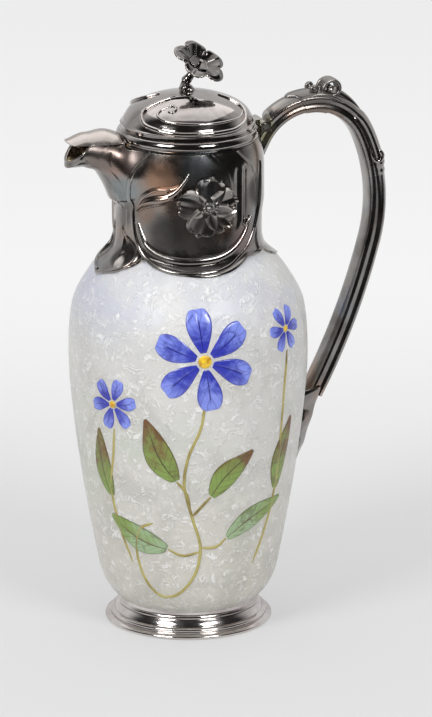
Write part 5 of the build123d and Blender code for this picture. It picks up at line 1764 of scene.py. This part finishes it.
class CarafeCollar(bpy.types.Operator):
    """Builds the cast collar with its spout, rim ring and hood"""

    bl_idname = "carafe.collar"
    bl_label = "Build Collar"

    def execute(self, context):
        make_collar()
        make_rim()
        make_hood()
        return {"FINISHED"}


class CarafeStems(bpy.types.Operator):
    """Builds the raised stems on both sides of the collar"""

    bl_idname = "carafe.stems"
    bl_label = "Build Collar Stems"

    def execute(self, context):
        make_stems()
        return {"FINISHED"}


class CarafeFlowers(bpy.types.Operator):
    """Builds the cast flowers on both sides"""

    bl_idname = "carafe.flowers"
    bl_label = "Build Collar Flowers"

    def execute(self, context):
        make_flowers()
        return {"FINISHED"}


class CarafeBuds(bpy.types.Operator):
    """Builds the cast buds on both sides"""

    bl_idname = "carafe.buds"
    bl_label = "Build Collar Buds"

    def execute(self, context):
        make_buds()
        return {"FINISHED"}


class CarafeHandle(bpy.types.Operator):
    """Builds the handle's bow"""

    bl_idname = "carafe.handle"
    bl_label = "Build Handle"

    def execute(self, context):
        make_handle()
        return {"FINISHED"}


class CarafeHandleDress(bpy.types.Operator):
    """Builds the sheath, fern bud, node and leaf pad of the handle"""

    bl_idname = "carafe.handle_dress"
    bl_label = "Dress Handle"

    def execute(self, context):
        make_sheath()
        make_handle_bud()
        make_knot()
        make_terminal()
        return {"FINISHED"}


class CarafeHinge(bpy.types.Operator):
    """Gives the hinge its finish"""

    bl_idname = "carafe.hinge"
    bl_label = "Finish Hinge"

    def execute(self, context):
        make_hinge()
        return {"FINISHED"}


class CarafeLid(bpy.types.Operator):
    """Builds the lid's dome, rim and bezel"""

    bl_idname = "carafe.lid"
    bl_label = "Build Lid"

    def execute(self, context):
        make_lid()
        return {"FINISHED"}


class CarafeLidStems(bpy.types.Operator):
    """Builds the whiplash stems on the lid"""

    bl_idname = "carafe.lid_stems"
    bl_label = "Build Lid Stems"

    def execute(self, context):
        make_lid_stems()
        return {"FINISHED"}


class CarafeFinial(bpy.types.Operator):
    """Builds the finial's stalk, calyx and flower"""

    bl_idname = "carafe.finial"
    bl_label = "Build Finial"

    def execute(self, context):
        make_finial()
        return {"FINISHED"}


class CarafeStage(bpy.types.Operator):
    """Builds the floor, lamps, world and camera"""

    bl_idname = "carafe.stage"
    bl_label = "Build Studio"

    def execute(self, context):
        make_stage()
        return {"FINISHED"}


STEPS = (
    CarafeGlass, CarafeEnamel, CarafePlaster, CarafeFoot, CarafeCollar, CarafeStems, CarafeFlowers,
    CarafeBuds, CarafeHandle, CarafeHandleDress, CarafeHinge, CarafeLid, CarafeLidStems,
    CarafeFinial, CarafeStage,
)


class CarafePanel(bpy.types.Panel):
    """Sizes, colours and steps of the carafe in the sidebar"""

    bl_idname = "CARAFE_PT_panel"
    bl_label = "Glass Carafe"
    bl_space_type = "VIEW_3D"
    bl_region_type = "UI"
    bl_category = "Carafe"

    def draw(self, context):
        for group in (context.scene.carafe_sizes, context.scene.carafe_colours):
            for key in group.__annotations__:
                self.layout.prop(group, key)
        for step in STEPS:
            self.layout.operator(step.bl_idname)


CLASSES = (CarafeSizes, CarafeColours, *STEPS, CarafePanel)


def register():
    """Registers the sizes, colours, steps and panel."""
    for each in CLASSES:
        bpy.utils.register_class(each)
    bpy.types.Scene.carafe_sizes = bpy.props.PointerProperty(type=CarafeSizes)
    bpy.types.Scene.carafe_colours = bpy.props.PointerProperty(type=CarafeColours)


def unregister():
    """Takes them out again."""
    del bpy.types.Scene.carafe_colours
    del bpy.types.Scene.carafe_sizes
    for each in reversed(CLASSES):
        bpy.utils.unregister_class(each)


def main():
    """Builds the carafe step by step."""
    register()
    for step in STEPS:
        group, name = step.bl_idname.split(".")
        getattr(getattr(bpy.ops, group), name)()


if __name__ == "__main__":
    main()
